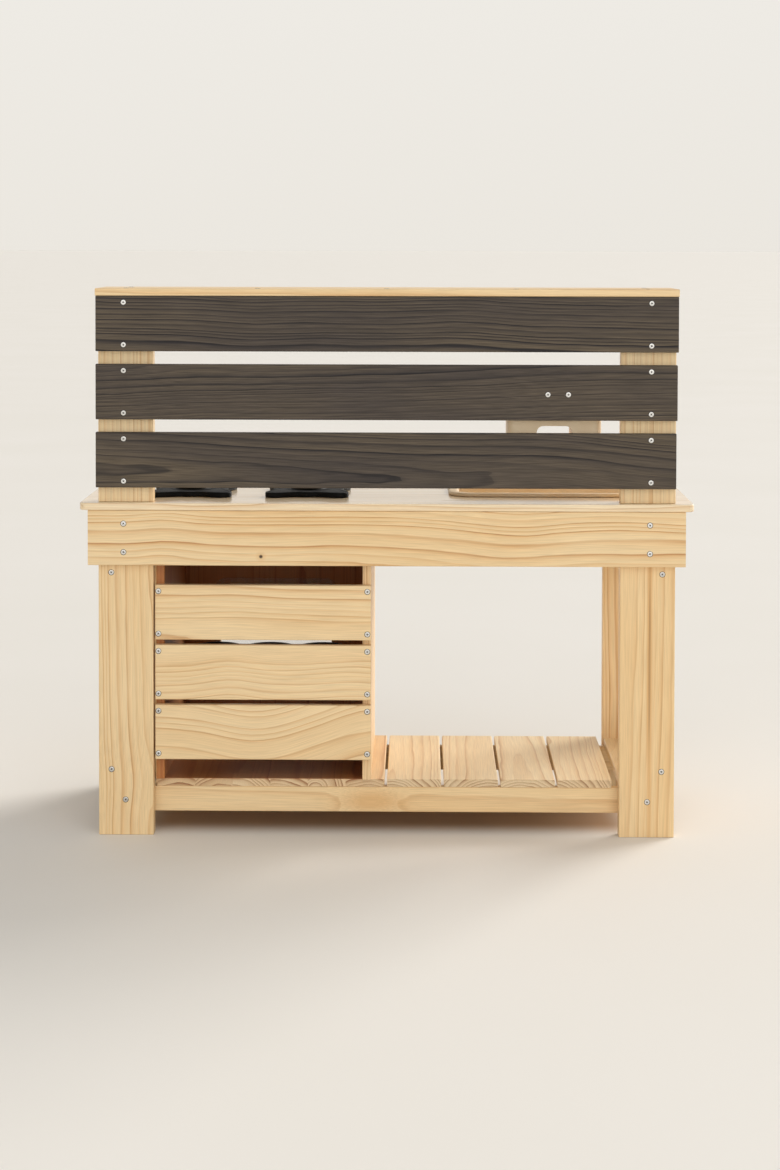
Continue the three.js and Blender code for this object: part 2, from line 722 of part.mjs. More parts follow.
// Burner plates: a wavy rounded square with a low cap in the middle
function burnerOutline() {
  const points = [];
  for (let step = 0; step < burnerOutlineSteps; step += 1) {
    const angle = (step / burnerOutlineSteps) * Math.PI * 2;
    const square = burnerSquareShare * Math.cos(4 * angle - Math.PI);
    const wave = burnerWaveShare * Math.cos(8 * angle);
    const radius = 1 + square + wave;
    points.push(new THREE.Vector2(radius * Math.cos(angle), radius * Math.sin(angle)));
  }
  const widest = Math.max(...points.map((point) => point.x));
  return new THREE.Shape(points.map((point) => point.multiplyScalar(burnerReach / widest)));
}

function addBurners() {
  const y = backEdge - burnerBackGap - burnerReach;
  Object.entries({ left: burnerLeftX, right: burnerRightX }).forEach(([word, x]) => {
    const plate = joined([
      toSolid(slab(burnerOutline(), burnerThickness, 1)),
      post(burnerCapRadius, 0, 0, [burnerThickness / 2, burnerThickness + burnerCapHeight], roundFacets),
    ]);
    addPiece(`burner_plate_${word}`, toGeometry(plate), blackPlastic, x, y, worktopHeight + seat);
  });
}

// Sink basin: a rolled rim on the worktop and a tapered bowl through the cut-out
function basinOutline(inset) {
  return roundedRectangle(basinWidth - inset * 2, basinLength - inset * 2, basinCorner - inset);
}

function addBasin() {
  const ring = (inset, z) => ({
    width: basinWidth - inset * 2,
    depth: basinLength - inset * 2,
    radius: Math.max(basinCorner - inset, basinWall),
    z,
  });
  const lip = basinRimHeight / 4;
  const outer = basinRimWidth;
  const inner = basinRimWidth + basinWall;
  const foot = basinRimWidth + basinTaper;
  const low = -basinBowlDepth;
  const basin = ringSkin([
    ring(foot + basinFloorRound, low),
    ring(foot + basinFloorRound / 4, low + basinFloorRound / 4),
    ring(foot, low + basinFloorRound),
    ring(outer, 0),
    ring(lip, 0),
    ring(0, lip),
    ring(0, basinRimHeight - lip * 2),
    ring(lip, basinRimHeight - lip / 2),
    ring(lip * 2, basinRimHeight),
    ring(outer - lip * 2, basinRimHeight),
    ring(outer + lip / 2, basinRimHeight - lip),
    ring(inner, basinRimHeight - lip * 3),
    ring(foot + basinWall, low + basinFloorRound + basinWall),
    ring(foot + basinWall + basinFloorRound / 4, low + basinWall + basinFloorRound / 4),
    ring(foot + basinWall + basinFloorRound, low + basinWall),
  ]);
  addPiece('sink_basin', basin, beigePlastic, basinCentreX, basinCentreY, worktopHeight + rest);
}

// Water tank on its bracket: a chamber on two feet, with an arch between them
function tankShell() {
  const ring = (inset, z) => ({
    width: tankWidth - inset * 2,
    depth: tankDepth - inset * 2,
    radius: tankCorner - inset,
    z,
  });
  const shell = toSolid(ringSkin([ring(0, tankBottomZ), ring(0, tankTopZ)]));
  const chamber = toSolid(ringSkin([ring(tankWall, tankFloorZ), ring(tankWall, tankTopZ + overrun)]));
  const archShape = roundedRectangle(archWidth, (archHeight + overrun) * 2, archCorner);
  const arch = toSolid(
    slab(archShape, tankDepth + overrun * 2, cornerFacets)
      .rotateX(Math.PI / 2).translate(0, tankDepth / 2 + overrun, tankBottomZ - overrun),
  );
  const hollowTopZ = tankFloorZ - tankWall * 2;
  const insideWalls = toSolid(ringSkin([ring(tankWall, tankBottomZ - overrun), ring(tankWall, hollowTopZ)]));
  const footHollows = [-1, 1].map((side) => {
    const x = sided(side, archWidth / 2 + tankWall, tankWidth / 2);
    const y = [-tankDepth / 2, tankDepth / 2];
    return insideWalls.intersect(block(x, y, [tankBottomZ - overrun, hollowTopZ]));
  });
  const shankHole = barrel(tapShankRadius + running, 0, tapZ, [-tankDepth, 0]);
  return [arch, chamber, ...footHollows, shankHole].reduce((solid, cut) => solid.subtract(cut), shell);
}

function tankHanger() {
  const half = hangerWidth / 2;
  const back = tankDepth / 2;
  const reach = back + rest + bracketSheet + hangerGap - rest * 2;
  const top = tankTopZ - tankWall;
  return joined([
    block([-half, half], [back - tankWall, reach], [top, tankTopZ]),
    block([-half, half], [reach - hangerWall, reach], [top - hangerDrop, tankTopZ]),
  ]);
}

function addTank() {
  const centreY = (tankBackY + tankFrontY) / 2;
  const tank = tankShell().add(tankHanger());
  addPiece('water_tank', toGeometry(tank), beigePlastic, tankCentreX, centreY, 0);

  const half = bracketWidth / 2;
  const hookTop = tankTopZ - tankWall - rest;
  const ledge = hookTop - bracketRise - bracketSheet;
  const front = -bracketSheet * 2 - hangerGap;
  const bracket = joined([
    block([-half, half], [-bracketSheet, 0], [bracketScrewZ - bracketTail, ledge + bracketSheet]),
    block([-half, half], [front, 0], [ledge, ledge + bracketSheet]),
    block([-half, half], [front, front + bracketSheet], [ledge, hookTop]),
  ]);
  addPiece('tank_bracket', toGeometry(bracket), zincSteel, tankCentreX, boardFrontY - seat, 0);
}

// Tap: shank through the tank wall, barrel, spout and neck, with a lever that turns on the neck
function addTap() {
  const wallOuter = tankFrontY - seat;
  const barrelEnd = -tapFlangeThickness - tapBarrelLength;
  const spoutY = barrelEnd + tapBarrelRadius;
  const spoutZ = [-tapSpoutDrop, 0];
  const body = joined([
    barrel(tapShankRadius, 0, 0, [-tapFlangeThickness, tankWall * 3]),
    barrel(tapFlangeRadius, 0, 0, [-tapFlangeThickness, 0], roundFacets),
    barrel(tapBarrelRadius, 0, 0, [barrelEnd, -tapFlangeThickness / 2], roundFacets),
    post(tapSpoutRadius, 0, spoutY, spoutZ),
    post(tapNeckRadius, 0, spoutY, [0, tapNeckRise]),
  ]).subtract(post(tapSpoutBore, 0, spoutY, [-tapSpoutDrop - overrun, -tapSpoutDrop / 2]));
  addPiece('tap_body', toGeometry(body), blackPlastic, tankCentreX, wallOuter, tapZ);

  const hub = post(leverHubRadius, 0, 0, [0, leverHubHeight], roundFacets);
  const armZ = [leverHubHeight - leverThickness, leverHubHeight];
  const arm = block([-leverWidth / 2, leverWidth / 2], [-leverLength, 0], armZ);
  const tip = post(leverWidth / 2, 0, -leverLength, armZ);
  const leverAt = [tankCentreX, wallOuter + spoutY, tapZ + tapNeckRise + rest];
  addPiece('tap_lever', toGeometry(joined([hub, arm, tip])), blackPlastic, ...leverAt);
}

// Knobs: a turned grip with finger flutes on its own spindle, which runs in the apron
function addKnobs() {
  const profile = [
    [0, 0],
    [knobRadius - knobRound, 0],
    [knobRadius, knobRound],
    [knobTipRadius, knobDepth - knobRound],
    [knobTipRadius - knobRound, knobDepth],
    [0, knobDepth],
  ].map(([radius, depth]) => new THREE.Vector2(radius, depth));
  Object.entries({ left: burnerLeftX, right: burnerRightX }).forEach(([word, x]) => {
    const turned = toSolid(new THREE.LatheGeometry(profile, roundFacets).rotateX(Math.PI));
    const flutes = Array.from({ length: knobGripCount }, (_, index) => {
      const angle = ((index + 0.5) / knobGripCount) * Math.PI * 2;
      const reach = knobRadius + knobGripRadius - knobGripBite;
      const at = [reach * Math.cos(angle), reach * Math.sin(angle)];
      return barrel(knobGripRadius, ...at, [-knobDepth - overrun, overrun]);
    });
    const spindle = barrel(knobSpindleRadius, 0, 0, [-knobDepth / 2, knobSpindleLength]);
    const knob = turned.subtract(joined(flutes)).add(spindle);
    const z = (apronBottomZ + frameTopZ) / 2;
    addPiece(`knob_${word}`, toGeometry(knob), blackPlastic, x, apronFrontY - rest, z);
  });
}

addLegs();
addAprons();
addRails();
addWorktop();
addShelf();
addOvenCarcass();
addRack();
addTray();
addDoor();
addHinges();
addBack();
addHookRail();
addBurners();
addBasin();
addTank();
addTap();
addKnobs();

export default kitchen;
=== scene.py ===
"""A child's outdoor mud kitchen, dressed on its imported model: planed and eased pine boards,
wood screws, moulded plastic, plated and powder-coated steel. Metres, +Z up, front facing -Y.
The camera stands behind the kitchen, as in the photograph."""

import math

import bmesh
import bpy
import numpy as np
from mathutils import Matrix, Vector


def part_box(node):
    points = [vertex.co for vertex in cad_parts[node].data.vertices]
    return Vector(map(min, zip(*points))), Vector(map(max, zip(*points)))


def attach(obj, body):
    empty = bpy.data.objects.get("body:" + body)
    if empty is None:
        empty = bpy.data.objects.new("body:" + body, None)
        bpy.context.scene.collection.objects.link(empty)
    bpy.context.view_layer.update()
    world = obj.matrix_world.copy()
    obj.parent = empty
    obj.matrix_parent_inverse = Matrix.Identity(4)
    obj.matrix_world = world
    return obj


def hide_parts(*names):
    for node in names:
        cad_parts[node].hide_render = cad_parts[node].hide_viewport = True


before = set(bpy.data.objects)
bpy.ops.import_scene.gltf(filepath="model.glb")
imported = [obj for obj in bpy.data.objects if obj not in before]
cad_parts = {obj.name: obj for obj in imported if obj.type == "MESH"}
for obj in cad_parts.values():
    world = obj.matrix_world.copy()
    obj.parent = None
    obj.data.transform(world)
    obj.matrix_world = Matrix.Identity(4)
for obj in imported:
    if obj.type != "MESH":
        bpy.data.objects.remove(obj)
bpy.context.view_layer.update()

MM = 0.001
scene = bpy.context.scene


# Colours and nodes

def linear(hex_colour):
    """An sRGB hex colour as linear RGBA, by the sRGB curve."""
    channels = np.array([int(hex_colour[i:i + 2], 16) for i in (0, 2, 4)]) / 255
    curve = np.where(channels <= 0.04045, channels / 12.92, ((channels + 0.055) / 1.055) ** 2.4)
    return (*curve.tolist(), 1.0)


def add(tree, kind, inputs=None, stops=(), **settings):
    """Adds a node. An input is a value or a socket to link; stops fill a colour ramp."""
    node = tree.nodes.new("ShaderNode" + kind)
    for key, value in settings.items():
        setattr(node, key, value)
    for key, value in (inputs or {}).items():
        if isinstance(value, bpy.types.NodeSocket):
            tree.links.new(value, node.inputs[key])
        else:
            node.inputs[key].default_value = value
    if stops:
        ramp = node.color_ramp.elements
        while len(ramp) < len(stops):
            ramp.new(1.0)
        for element, (place, colour) in zip(ramp, stops):
            element.position = place
            element.color = colour
    return node


def maths(tree, operation, *values):
    """One sum over numbers."""
    return add(tree, "Math", dict(enumerate(values)), operation=operation).outputs[0]


def vectors(tree, operation, *values):
    """One sum over vectors; a length comes out as a number."""
    node = add(tree, "VectorMath", dict(enumerate(values)), operation=operation)
    return node.outputs["Value" if operation == "LENGTH" else "Vector"]


def split(tree, vector):
    """The three parts of a vector."""
    return add(tree, "SeparateXYZ", {0: vector}).outputs


def attribute(tree, name):
    """The three parts of a vector that each corner of the mesh carries."""
    return split(tree, add(tree, "Attribute", attribute_name=name).outputs["Vector"])


def remap(tree, value, low, high, start=0.0, end=1.0, **settings):
    """A value carried from the range low to high over to start to end, and held there."""
    return add(tree, "MapRange", {0: value, 1: low, 2: high, 3: start, 4: end}, **settings).outputs[0]


def blend(tree, share, first, second):
    """Two colours mixed by the second one's share."""
    return add(tree, "Mix", {0: share, 6: first, 7: second}, data_type="RGBA").outputs[2]


def grey_ramp(tree, value, levels):
    """A value turned into a grey, by a level at each of some places from 0 to 1."""
    stops = [(place, (level, level, level, 1.0)) for place, level in levels]
    return add(tree, "ValToRGB", {0: value}, stops=stops).outputs[0]


def object_place(tree):
    """A point's place in the kitchen, in metres."""
    return add(tree, "TexCoord").outputs["Object"]


def noise(tree, place, scale, detail=2.0):
    """Noise over a place, with scale blotches to a metre."""
    return add(tree, "TexNoise", {"Vector": place, "Scale": scale, "Detail": detail}).outputs[0]


def drawn_noise(tree, place, stretch, detail):
    """Noise drawn out along a board: stretch gives the blotches to a metre in each direction."""
    return noise(tree, vectors(tree, "MULTIPLY", place, stretch), 1.0, detail)


def white_noise(tree, number, output):
    """A random value or colour for each whole number."""
    return add(tree, "TexWhiteNoise", {"W": number}, noise_dimensions="1D").outputs[output]


def emboss(tree, shader, height, strength, distance):
    """Gives a shader a bump from a height; distance is how far a height of 1 rises, in metres."""
    bump = add(tree, "Bump", {"Strength": strength, "Distance": distance, "Height": height})
    tree.links.new(bump.outputs[0], shader.inputs["Normal"])


def new_finish(name, **surface):
    """A material with one principled shader, whose constant sockets are set here."""
    material = bpy.data.materials.new(name)
    material.use_nodes = True
    tree = material.node_tree
    tree.nodes.clear()
    shader = add(tree, "BsdfPrincipled", surface)
    add(tree, "OutputMaterial", {"Surface": shader.outputs[0]})
    return material, tree, shader


# Finishes

# Knots and resin streaks, each given by its centre in metres, the weight of a distance from it along x,
# y and z (small where it is long), its radius in mm, and how strong its dark heart and warm halo are.
MARKS = [
    ((0.204, 0.203, 0.461), (1, 0.25, 1), 3.2, 0.95, 0.3),
    ((-0.1, -0.179, 0.47), (1, 0.25, 1), 5.0, 0.85, 0.35),
    ((0.4862, 0.03, 0.5), (0.25, 1, 1), 4.0, 0.85, 0.35),
    ((-0.44, -0.1638, 0.33), (1, 0.25, 1), 6.0, 0.85, 0.35),
    ((0.022, 0.1636, 0.05), (0.32, 0.25, 1), 7.0, 0.0, 0.5),
    ((-0.4298, 0.1878, 0.29), (1, 1, 0.012), 1.9, 0.32, 0.6),
]
KNOT_HEART = "2e190d"

# The oven's inside in metres, and the share of the wood's red, green and blue that is left there: painted
# shade, darker and redder, for the little light that gets inside.
OVEN_LOW, OVEN_HIGH = (0.0392, -0.1492, 0.0881), (0.3778, 0.1732, 0.5364)
OVEN_SHADE_TINT = (0.56, 0.3, 0.145)


def timber_finish(name, early, late, line, warm, pale, depth, roughness, staved=False, coat=0.35,
                  gloss=0.28, fibres=0.1, sawn="7d4420", even=0.5):
    """Planed softwood as a solid: growth rings round a pith that lies beside or behind the face.

    The attribute "timber" holds a point's place along, across and through the board, measured
    from the pith line; "board" holds ring spacing, tone and the width of one glued stave; "manner"
    holds how far the rings sway and how strongly they show.
    Ring number = distance from the pith, bent by slow noise, over the spacing. Inside a ring
    the colour goes from early slowly to late and ends on a thin sharp line, as latewood does."""
    material, tree, shader = new_finish(name, **{"Roughness": roughness, "Specular IOR Level": 0.3,
                                                 "Coat Weight": coat, "Coat Roughness": gloss})
    along, across, deep = attribute(tree, "timber")
    spacing, tone, stave = attribute(tree, "board")
    sway, contrast, _ = attribute(tree, "manner")

    if staved:
        # Each stave comes from elsewhere in a log: up to 3 m along, 45 mm aside and 82 mm deeper, and
        # has a tone of its own.
        count = maths(tree, "FLOOR", maths(tree, "DIVIDE", across, stave))
        luck = split(tree, white_noise(tree, count, "Color"))
        centre = maths(tree, "MULTIPLY", maths(tree, "ADD", count, 0.5), stave)
        aside = maths(tree, "MULTIPLY_ADD", luck[1], 0.09, -0.045)
        along = maths(tree, "ADD", along, maths(tree, "MULTIPLY", luck[0], 3.0))
        across = maths(tree, "ADD", maths(tree, "SUBTRACT", across, centre), aside)
        deep = maths(tree, "ADD", deep, maths(tree, "MULTIPLY_ADD", luck[2], 0.07, 0.012))
        tone = maths(tree, "ADD", tone, maths(tree, "MULTIPLY_ADD", luck[1], 1.6, -0.8))

    place = add(tree, "CombineXYZ", {0: along, 1: across, 2: deep}).outputs[0]
    reach = vectors(tree, "LENGTH", add(tree, "CombineXYZ", {0: 0.0, 1: across, 2: deep}).outputs[0])
    # Slow bends about 310 mm long and 45 mm wide, then finer ones 70 mm long and 12 mm wide.
    slow = drawn_noise(tree, place, (3.2, 22, 22), 1.0)
    fine = drawn_noise(tree, place, (14, 80, 80), 1.0)
    bent = maths(tree, "MULTIPLY_ADD", slow, maths(tree, "MULTIPLY", sway, 0.020), reach)
    bent = maths(tree, "MULTIPLY_ADD", fine, 0.0022, bent)
    rings = maths(tree, "DIVIDE", bent, spacing)
    uneven = add(tree, "TexNoise", {"W": maths(tree, "MULTIPLY", rings, 0.37), "Scale": 1.0,
                                    "Detail": 0.0}, noise_dimensions="1D").outputs[0]
    rings = maths(tree, "MULTIPLY_ADD", uneven, 2.2, rings)
    inside = maths(tree, "FRACT", rings)
    band = grey_ramp(tree, inside, [(0.0, 0.35), (0.06, 0.0), (0.3, 0.05), (0.65, 0.36), (0.92, 1.0),
                                    (1.0, 0.8)])
    edge = grey_ramp(tree, inside, [(0.0, 0.5), (0.04, 0.0), (0.84, 0.0), (0.95, 1.0), (1.0, 0.8)])
    which = white_noise(tree, maths(tree, "FLOOR", rings), "Value")
    strength = maths(tree, "MULTIPLY_ADD", which, 0.65, 0.35)
    fade = remap(tree, drawn_noise(tree, place, (5, 30, 30), 2.0), 0.3, 0.7, 0.45, 1.0)
    for share in (fade, depth, contrast):
        strength = maths(tree, "MULTIPLY", strength, share)
    dark = maths(tree, "MULTIPLY", band, strength)
    thin = maths(tree, "MULTIPLY", maths(tree, "MULTIPLY", edge, strength), which)

    broad = drawn_noise(tree, place, (2.5, 14, 14), 2.0)
    shade = maths(tree, "ADD", remap(tree, broad, 0.3, 0.7, -0.5, 0.5), tone)
    ground = blend(tree, remap(tree, shade, -1.0, 1.0), linear(pale), linear(warm))
    ground = blend(tree, even, ground, linear(early))
    wood = blend(tree, dark, ground, linear(late))
    wood = blend(tree, thin, wood, linear(line))
    # Fibres about 1.2 mm wide and 60 mm long, drawn coarser than real ones so that they show.
    fibre = drawn_noise(tree, place, (16, 800, 800), 2.0)
    thread = remap(tree, fibre, 0.3, 0.7, 1 - fibres, 1 + 0.7 * fibres)
    colour = vectors(tree, "MULTIPLY", wood, thread)

    # Knots and resin streaks at fixed places in the kitchen.
    spot = object_place(tree)
    for centre, weights, radius, heart, halo in MARKS:
        offset = vectors(tree, "SUBTRACT", spot, centre)
        away = vectors(tree, "LENGTH", vectors(tree, "MULTIPLY", offset, weights))
        core = remap(tree, away, radius * 0.55 * MM, radius * 1.15 * MM, heart, 0.0)
        ring = remap(tree, away, radius * MM, radius * 3.2 * MM, halo, 0.0)
        colour = blend(tree, ring, colour, linear(late))
        colour = blend(tree, core, colour, linear(KNOT_HEART))

    # Painted shade: inside the oven the wood is painted darker and redder, as deep shade between pine walls
    # looks.
    inner = split(tree, vectors(tree, "MINIMUM", vectors(tree, "SUBTRACT", spot, OVEN_LOW),
                                vectors(tree, "SUBTRACT", OVEN_HIGH, spot)))
    least = maths(tree, "MINIMUM", inner[0], maths(tree, "MINIMUM", inner[1], inner[2]))
    shaded_colour = vectors(tree, "MULTIPLY", colour, OVEN_SHADE_TINT)
    colour = blend(tree, remap(tree, least, -0.4 * MM, 0.4 * MM), colour, shaded_colour)

    # Sawn ends drink more finish: darker and pinker than the faces.
    ends = add(tree, "Attribute", attribute_name="ends").outputs["Fac"]
    pores = maths(tree, "MULTIPLY_ADD", dark, 1.1, remap(tree, tone, -1.0, 1.0, 0.12, 0.4))
    colour = blend(tree, ends, colour, blend(tree, pores, colour, linear(sawn)))
    tree.links.new(colour, shader.inputs["Base Color"])
    emboss(tree, shader, maths(tree, "MULTIPLY_ADD", dark, 0.6, thread), 0.18, 0.4 * MM)
    return material


# Planed pine under a thin clear water-based coat: pale, softly shiny, golden bands with fine edges.
pine_board = timber_finish("planed_pine_clear_coat", "eccf9f", "d39b57", "a8652c", "e8c187", "f5dfb6",
                           0.8, 0.55)
# The shelf's slats are drawn paler than the other boards: painted light, for the strong light that falls on
# the low shelf.
pine_shelf = timber_finish("planed_pine_painted_light", "f1d9ae", "d8a869", "ac7233", "ecc992", "f7e7c4",
                           0.7, 0.5)
# The same pine edge-glued from narrow staves: each stave has its own rings and tone.
pine_panel = timber_finish("edge_glued_pine_clear_coat", "eccf9f", "d39b57", "a8652c", "e5bc87", "f5e2be",
                           0.7, 0.55, staved=True)
# The worktop's panel has a thicker, glossier coat, which mirrors the bright room at a low angle. Its paler
# colours are painted light, for the bright light on its top.
pine_worktop = timber_finish("edge_glued_pine_lacquered", "f0d8b0", "d5a46a", "a8723a", "eac899", "f7e8ca",
                             0.6, 0.5, staved=True, coat=1.0, gloss=0.14)
# Pine stained charcoal: the soft wood drinks the stain, the hard lines stay darker and crisper.
charcoal_board = timber_finish("charcoal_stained_pine", "4c4445", "2b2627", "0e0b0b", "74654b", "302c2d",
                               1.1, 0.62, coat=0.05, fibres=0.34, sawn="120e0c", even=0.3)


def mottled_finish(name, light, dark, scale, grain_bump, **surface):
    """A moulded, coated or plated surface: two close colours over soft blotches, with a fine
    texture of the given scale per metre in the bump."""
    material, tree, shader = new_finish(name, **surface)
    spot = object_place(tree)
    spread = remap(tree, noise(tree, spot, 22.0, 4.0), 0.35, 0.65)
    tree.links.new(blend(tree, spread, linear(light), linear(dark)), shader.inputs["Base Color"])
    grit = noise(tree, spot, scale)
    middle = surface["Roughness"]
    sheen = remap(tree, grit, 0.3, 0.7, middle - 0.06, middle + 0.06)
    tree.links.new(sheen, shader.inputs["Roughness"])
    emboss(tree, shader, grit, grain_bump, 0.3 * MM)
    return material


# Bright zinc plating over pressed steel: cool, soft reflections, faint cloudiness.
zinc_plate = mottled_finish("bright_zinc_plate", "dddcd9", "bfbdb9", 900, 0.08, Metallic=1.0, Roughness=0.32)
# Screw heads: the same zinc, tumbled bright, so they stand out as small pale discs.
screw_zinc = mottled_finish("tumbled_bright_zinc", "e4e3e0", "cfcdc9", 900, 0.05, Metallic=1.0,
                            Roughness=0.28)
# The gap round a head and the bottom of its recess: too narrow to be lit.
recess_shadow = mottled_finish("unlit_zinc_recess", "4a4642", "3b3834", 900, 0.05, Metallic=0.2,
                               Roughness=0.8)
# Satin powder coat on bent steel: deep black with a fine orange-peel sheen.
powder_coat = mottled_finish("black_powder_coat", "1c1c1d", "121213", 700, 0.25, Roughness=0.42)
# Injection-moulded black polypropylene: even satin black with a fine spark-eroded texture.
moulded_black = mottled_finish("black_moulded_polypropylene", "0c0c0b", "080808", 1400, 0.3, Roughness=0.52,
                               **{"Specular IOR Level": 0.13})
# Injection-moulded beige polypropylene: warm, even and slightly waxy.
moulded_beige = mottled_finish("beige_moulded_polypropylene", "f3dcb8", "edd2aa", 1200, 0.2, Roughness=0.42)


def clear_finish():
    """Clear cast acrylic sheet: almost colourless, glossy, with faint wiping marks. Light passes
    straight through a sheet this thin, so it is drawn as a faint glossy film."""
    material, tree, shader = new_finish("clear_cast_acrylic", **{
        "Base Color": linear("7d8a8a"), "Roughness": 0.04, "IOR": 1.49, "Alpha": 0.1})
    spot = object_place(tree)
    haze = remap(tree, noise(tree, spot, 35.0, 3.0), 0.4, 0.7, 0.03, 0.1)
    tree.links.new(haze, shader.inputs["Roughness"])
    return material


clear_acrylic = clear_finish()


# Mesh pieces

def put(name, data):
    """An object in the scene for a mesh, a light or a camera."""
    thing = bpy.data.objects.new(name, data)
    scene.collection.objects.link(thing)
    return thing


def make_piece(name, skin, finish, body, nodes=(), fields=None):
    """Puts a skin, its corners and faces, into a mesh at the origin, and lets it ride a body. Big
    faces win the shading of their edges, so that flats look flat and eased edges look round."""
    points, faces = skin
    mesh = bpy.data.meshes.new(name)
    mesh.from_pydata(np.asarray(points, float).tolist(), [], faces)
    mesh.polygons.foreach_set("use_smooth", np.ones(len(mesh.polygons), bool))
    for label, values in (fields or {}).items():
        kind, key = ("FLOAT_VECTOR", "vector") if np.ndim(values) == 2 else ("FLOAT", "value")
        layer = mesh.attributes.new(label, kind, "POINT")
        layer.data.foreach_set(key, np.asarray(values, np.float32).ravel())
    mesh.materials.append(finish)
    mesh.update()
    piece = put(name, mesh)
    piece.modifiers.new("even shading", "WEIGHTED_NORMAL").keep_sharp = True
    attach(piece, body)
    if nodes:
        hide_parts(*nodes)
    return piece


def skin_over(rings, closed=False):
    """Corners and faces over rings of corners, seen from outside when the rings run anticlockwise
    and climb; closed joins the last ring to the first, or else one flat face covers each of them."""
    rings = np.array(rings)
    count, per_ring = rings.shape[:2]
    ring, step = np.meshgrid(np.arange(count if closed else count - 1), np.arange(per_ring), indexing="ij")
    after, upper = (step + 1) % per_ring, (ring + 1) % count
    quads = np.stack([ring * per_ring + step, ring * per_ring + after,
                      upper * per_ring + after, upper * per_ring + step], -1)
    caps = [list(range(per_ring))[::-1], list(range((count - 1) * per_ring, count * per_ring))]
    return rings.reshape(-1, 3), quads.reshape(-1, 4).tolist() + ([] if closed else caps)


def rounded_loop(half_width, half_height, radius, facets):
    """A rounded rectangle, anticlockwise: quarter circles of the radius round four centres."""
    angle = (np.arange(4)[:, None] + np.linspace(0, 1, facets + 1)[None, :]) * math.pi / 2
    sign_x = np.array([1, -1, -1, 1])[:, None]
    sign_y = np.array([1, 1, -1, -1])[:, None]
    x = sign_x * (half_width - radius) + radius * np.cos(angle)
    y = sign_y * (half_height - radius) + radius * np.sin(angle)
    return np.stack([x.ravel(), y.ravel()], -1)


def full_turn(count):
    """Evenly spaced angles once round."""
    return np.arange(count) / count * 2 * math.pi


def at_level(loop, level):
    """A flat outline lifted to a height."""
    return np.column_stack([loop, np.full(len(loop), level)])


def unit_length(arrows):
    """Vectors, one or a row of them, brought to a length of 1."""
    return arrows / np.linalg.norm(arrows, axis=-1, keepdims=True)


def inset_loop(loop, distance):
    """Moves an outline inwards: each corner goes along the mitre of its two edges' normals."""
    edge = np.roll(loop, -1, 0) - loop
    normal = unit_length(np.stack([edge[:, 1], -edge[:, 0]], -1))
    before = np.roll(normal, 1, 0)
    mitre = (before + normal) / (1 + (before * normal).sum(1, keepdims=True))
    return loop - mitre * distance


X, Y, Z = range(3)
# Directions of a ring's two axes and of the axis it runs round: upright, and out of the front.
UPRIGHT = ((1, 0, 0), (0, 1, 0), (0, 0, 1))
FORWARDS = ((1, 0, 0), (0, 0, 1), (0, -1, 0))


def box_of(node, unit=1.0):
    """The low and the high corner of a CAD node's box, in metres or in another unit."""
    return [np.array(corner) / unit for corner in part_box(node)]


def stand_up(slab):
    """Stands a slab that was drawn flat up in x and z, so that its top faces the front."""
    points, faces = slab
    return np.column_stack([points[:, 0], -points[:, 2], points[:, 1]]), faces


def joined(shells):
    """Several closed shells as one set of corners and faces."""
    points, faces = [], []
    count = 0
    for shell_points, shell_faces in shells:
        points.append(shell_points)
        faces += [[corner + count for corner in face] for face in shell_faces]
        count += len(shell_points)
    return np.vstack(points), faces


def timber_fields(points, grain, wide, ring_mm, pith, lean, tone, slide, stave_mm=0.0, sway=1.0,
                  contrast=1.0, swells=()):
    """Where each corner lies in the log: along the grain, and across and through the board from
    a pith line that lies pith mm from the middle and leans by lean mm in a metre. A swell bends
    the grain as it runs past a place: lift and dig mm times exp(-((along - place) / reach)^2)."""
    thin = X + Y + Z - grain - wide
    low, high = points.min(0), points.max(0)
    middle = (low + high) / 2
    along = points[:, grain]
    across = points[:, wide] - middle[wide]
    deep = points[:, thin] - middle[thin]
    run = along - middle[grain]
    for place, reach, lift, dig in swells:
        bell = np.exp(-((along / MM - place) / reach) ** 2) * MM
        across, deep = across - lift * bell, deep + dig * bell
    timber = np.stack([along + slide, across - (pith[0] + lean[0] * run) * MM,
                       deep - (pith[1] + lean[1] * run) * MM], -1)
    board = np.tile([ring_mm * MM, tone, stave_mm * MM], (len(points), 1))
    manner = np.tile([sway, contrast, 0.0], (len(points), 1))
    nearly = 1e-5
    ends = (np.abs(along - low[grain]) < nearly) | (np.abs(along - high[grain]) < nearly)
    return {"timber": timber, "board": board, "manner": manner, "ends": ends.astype(float)}


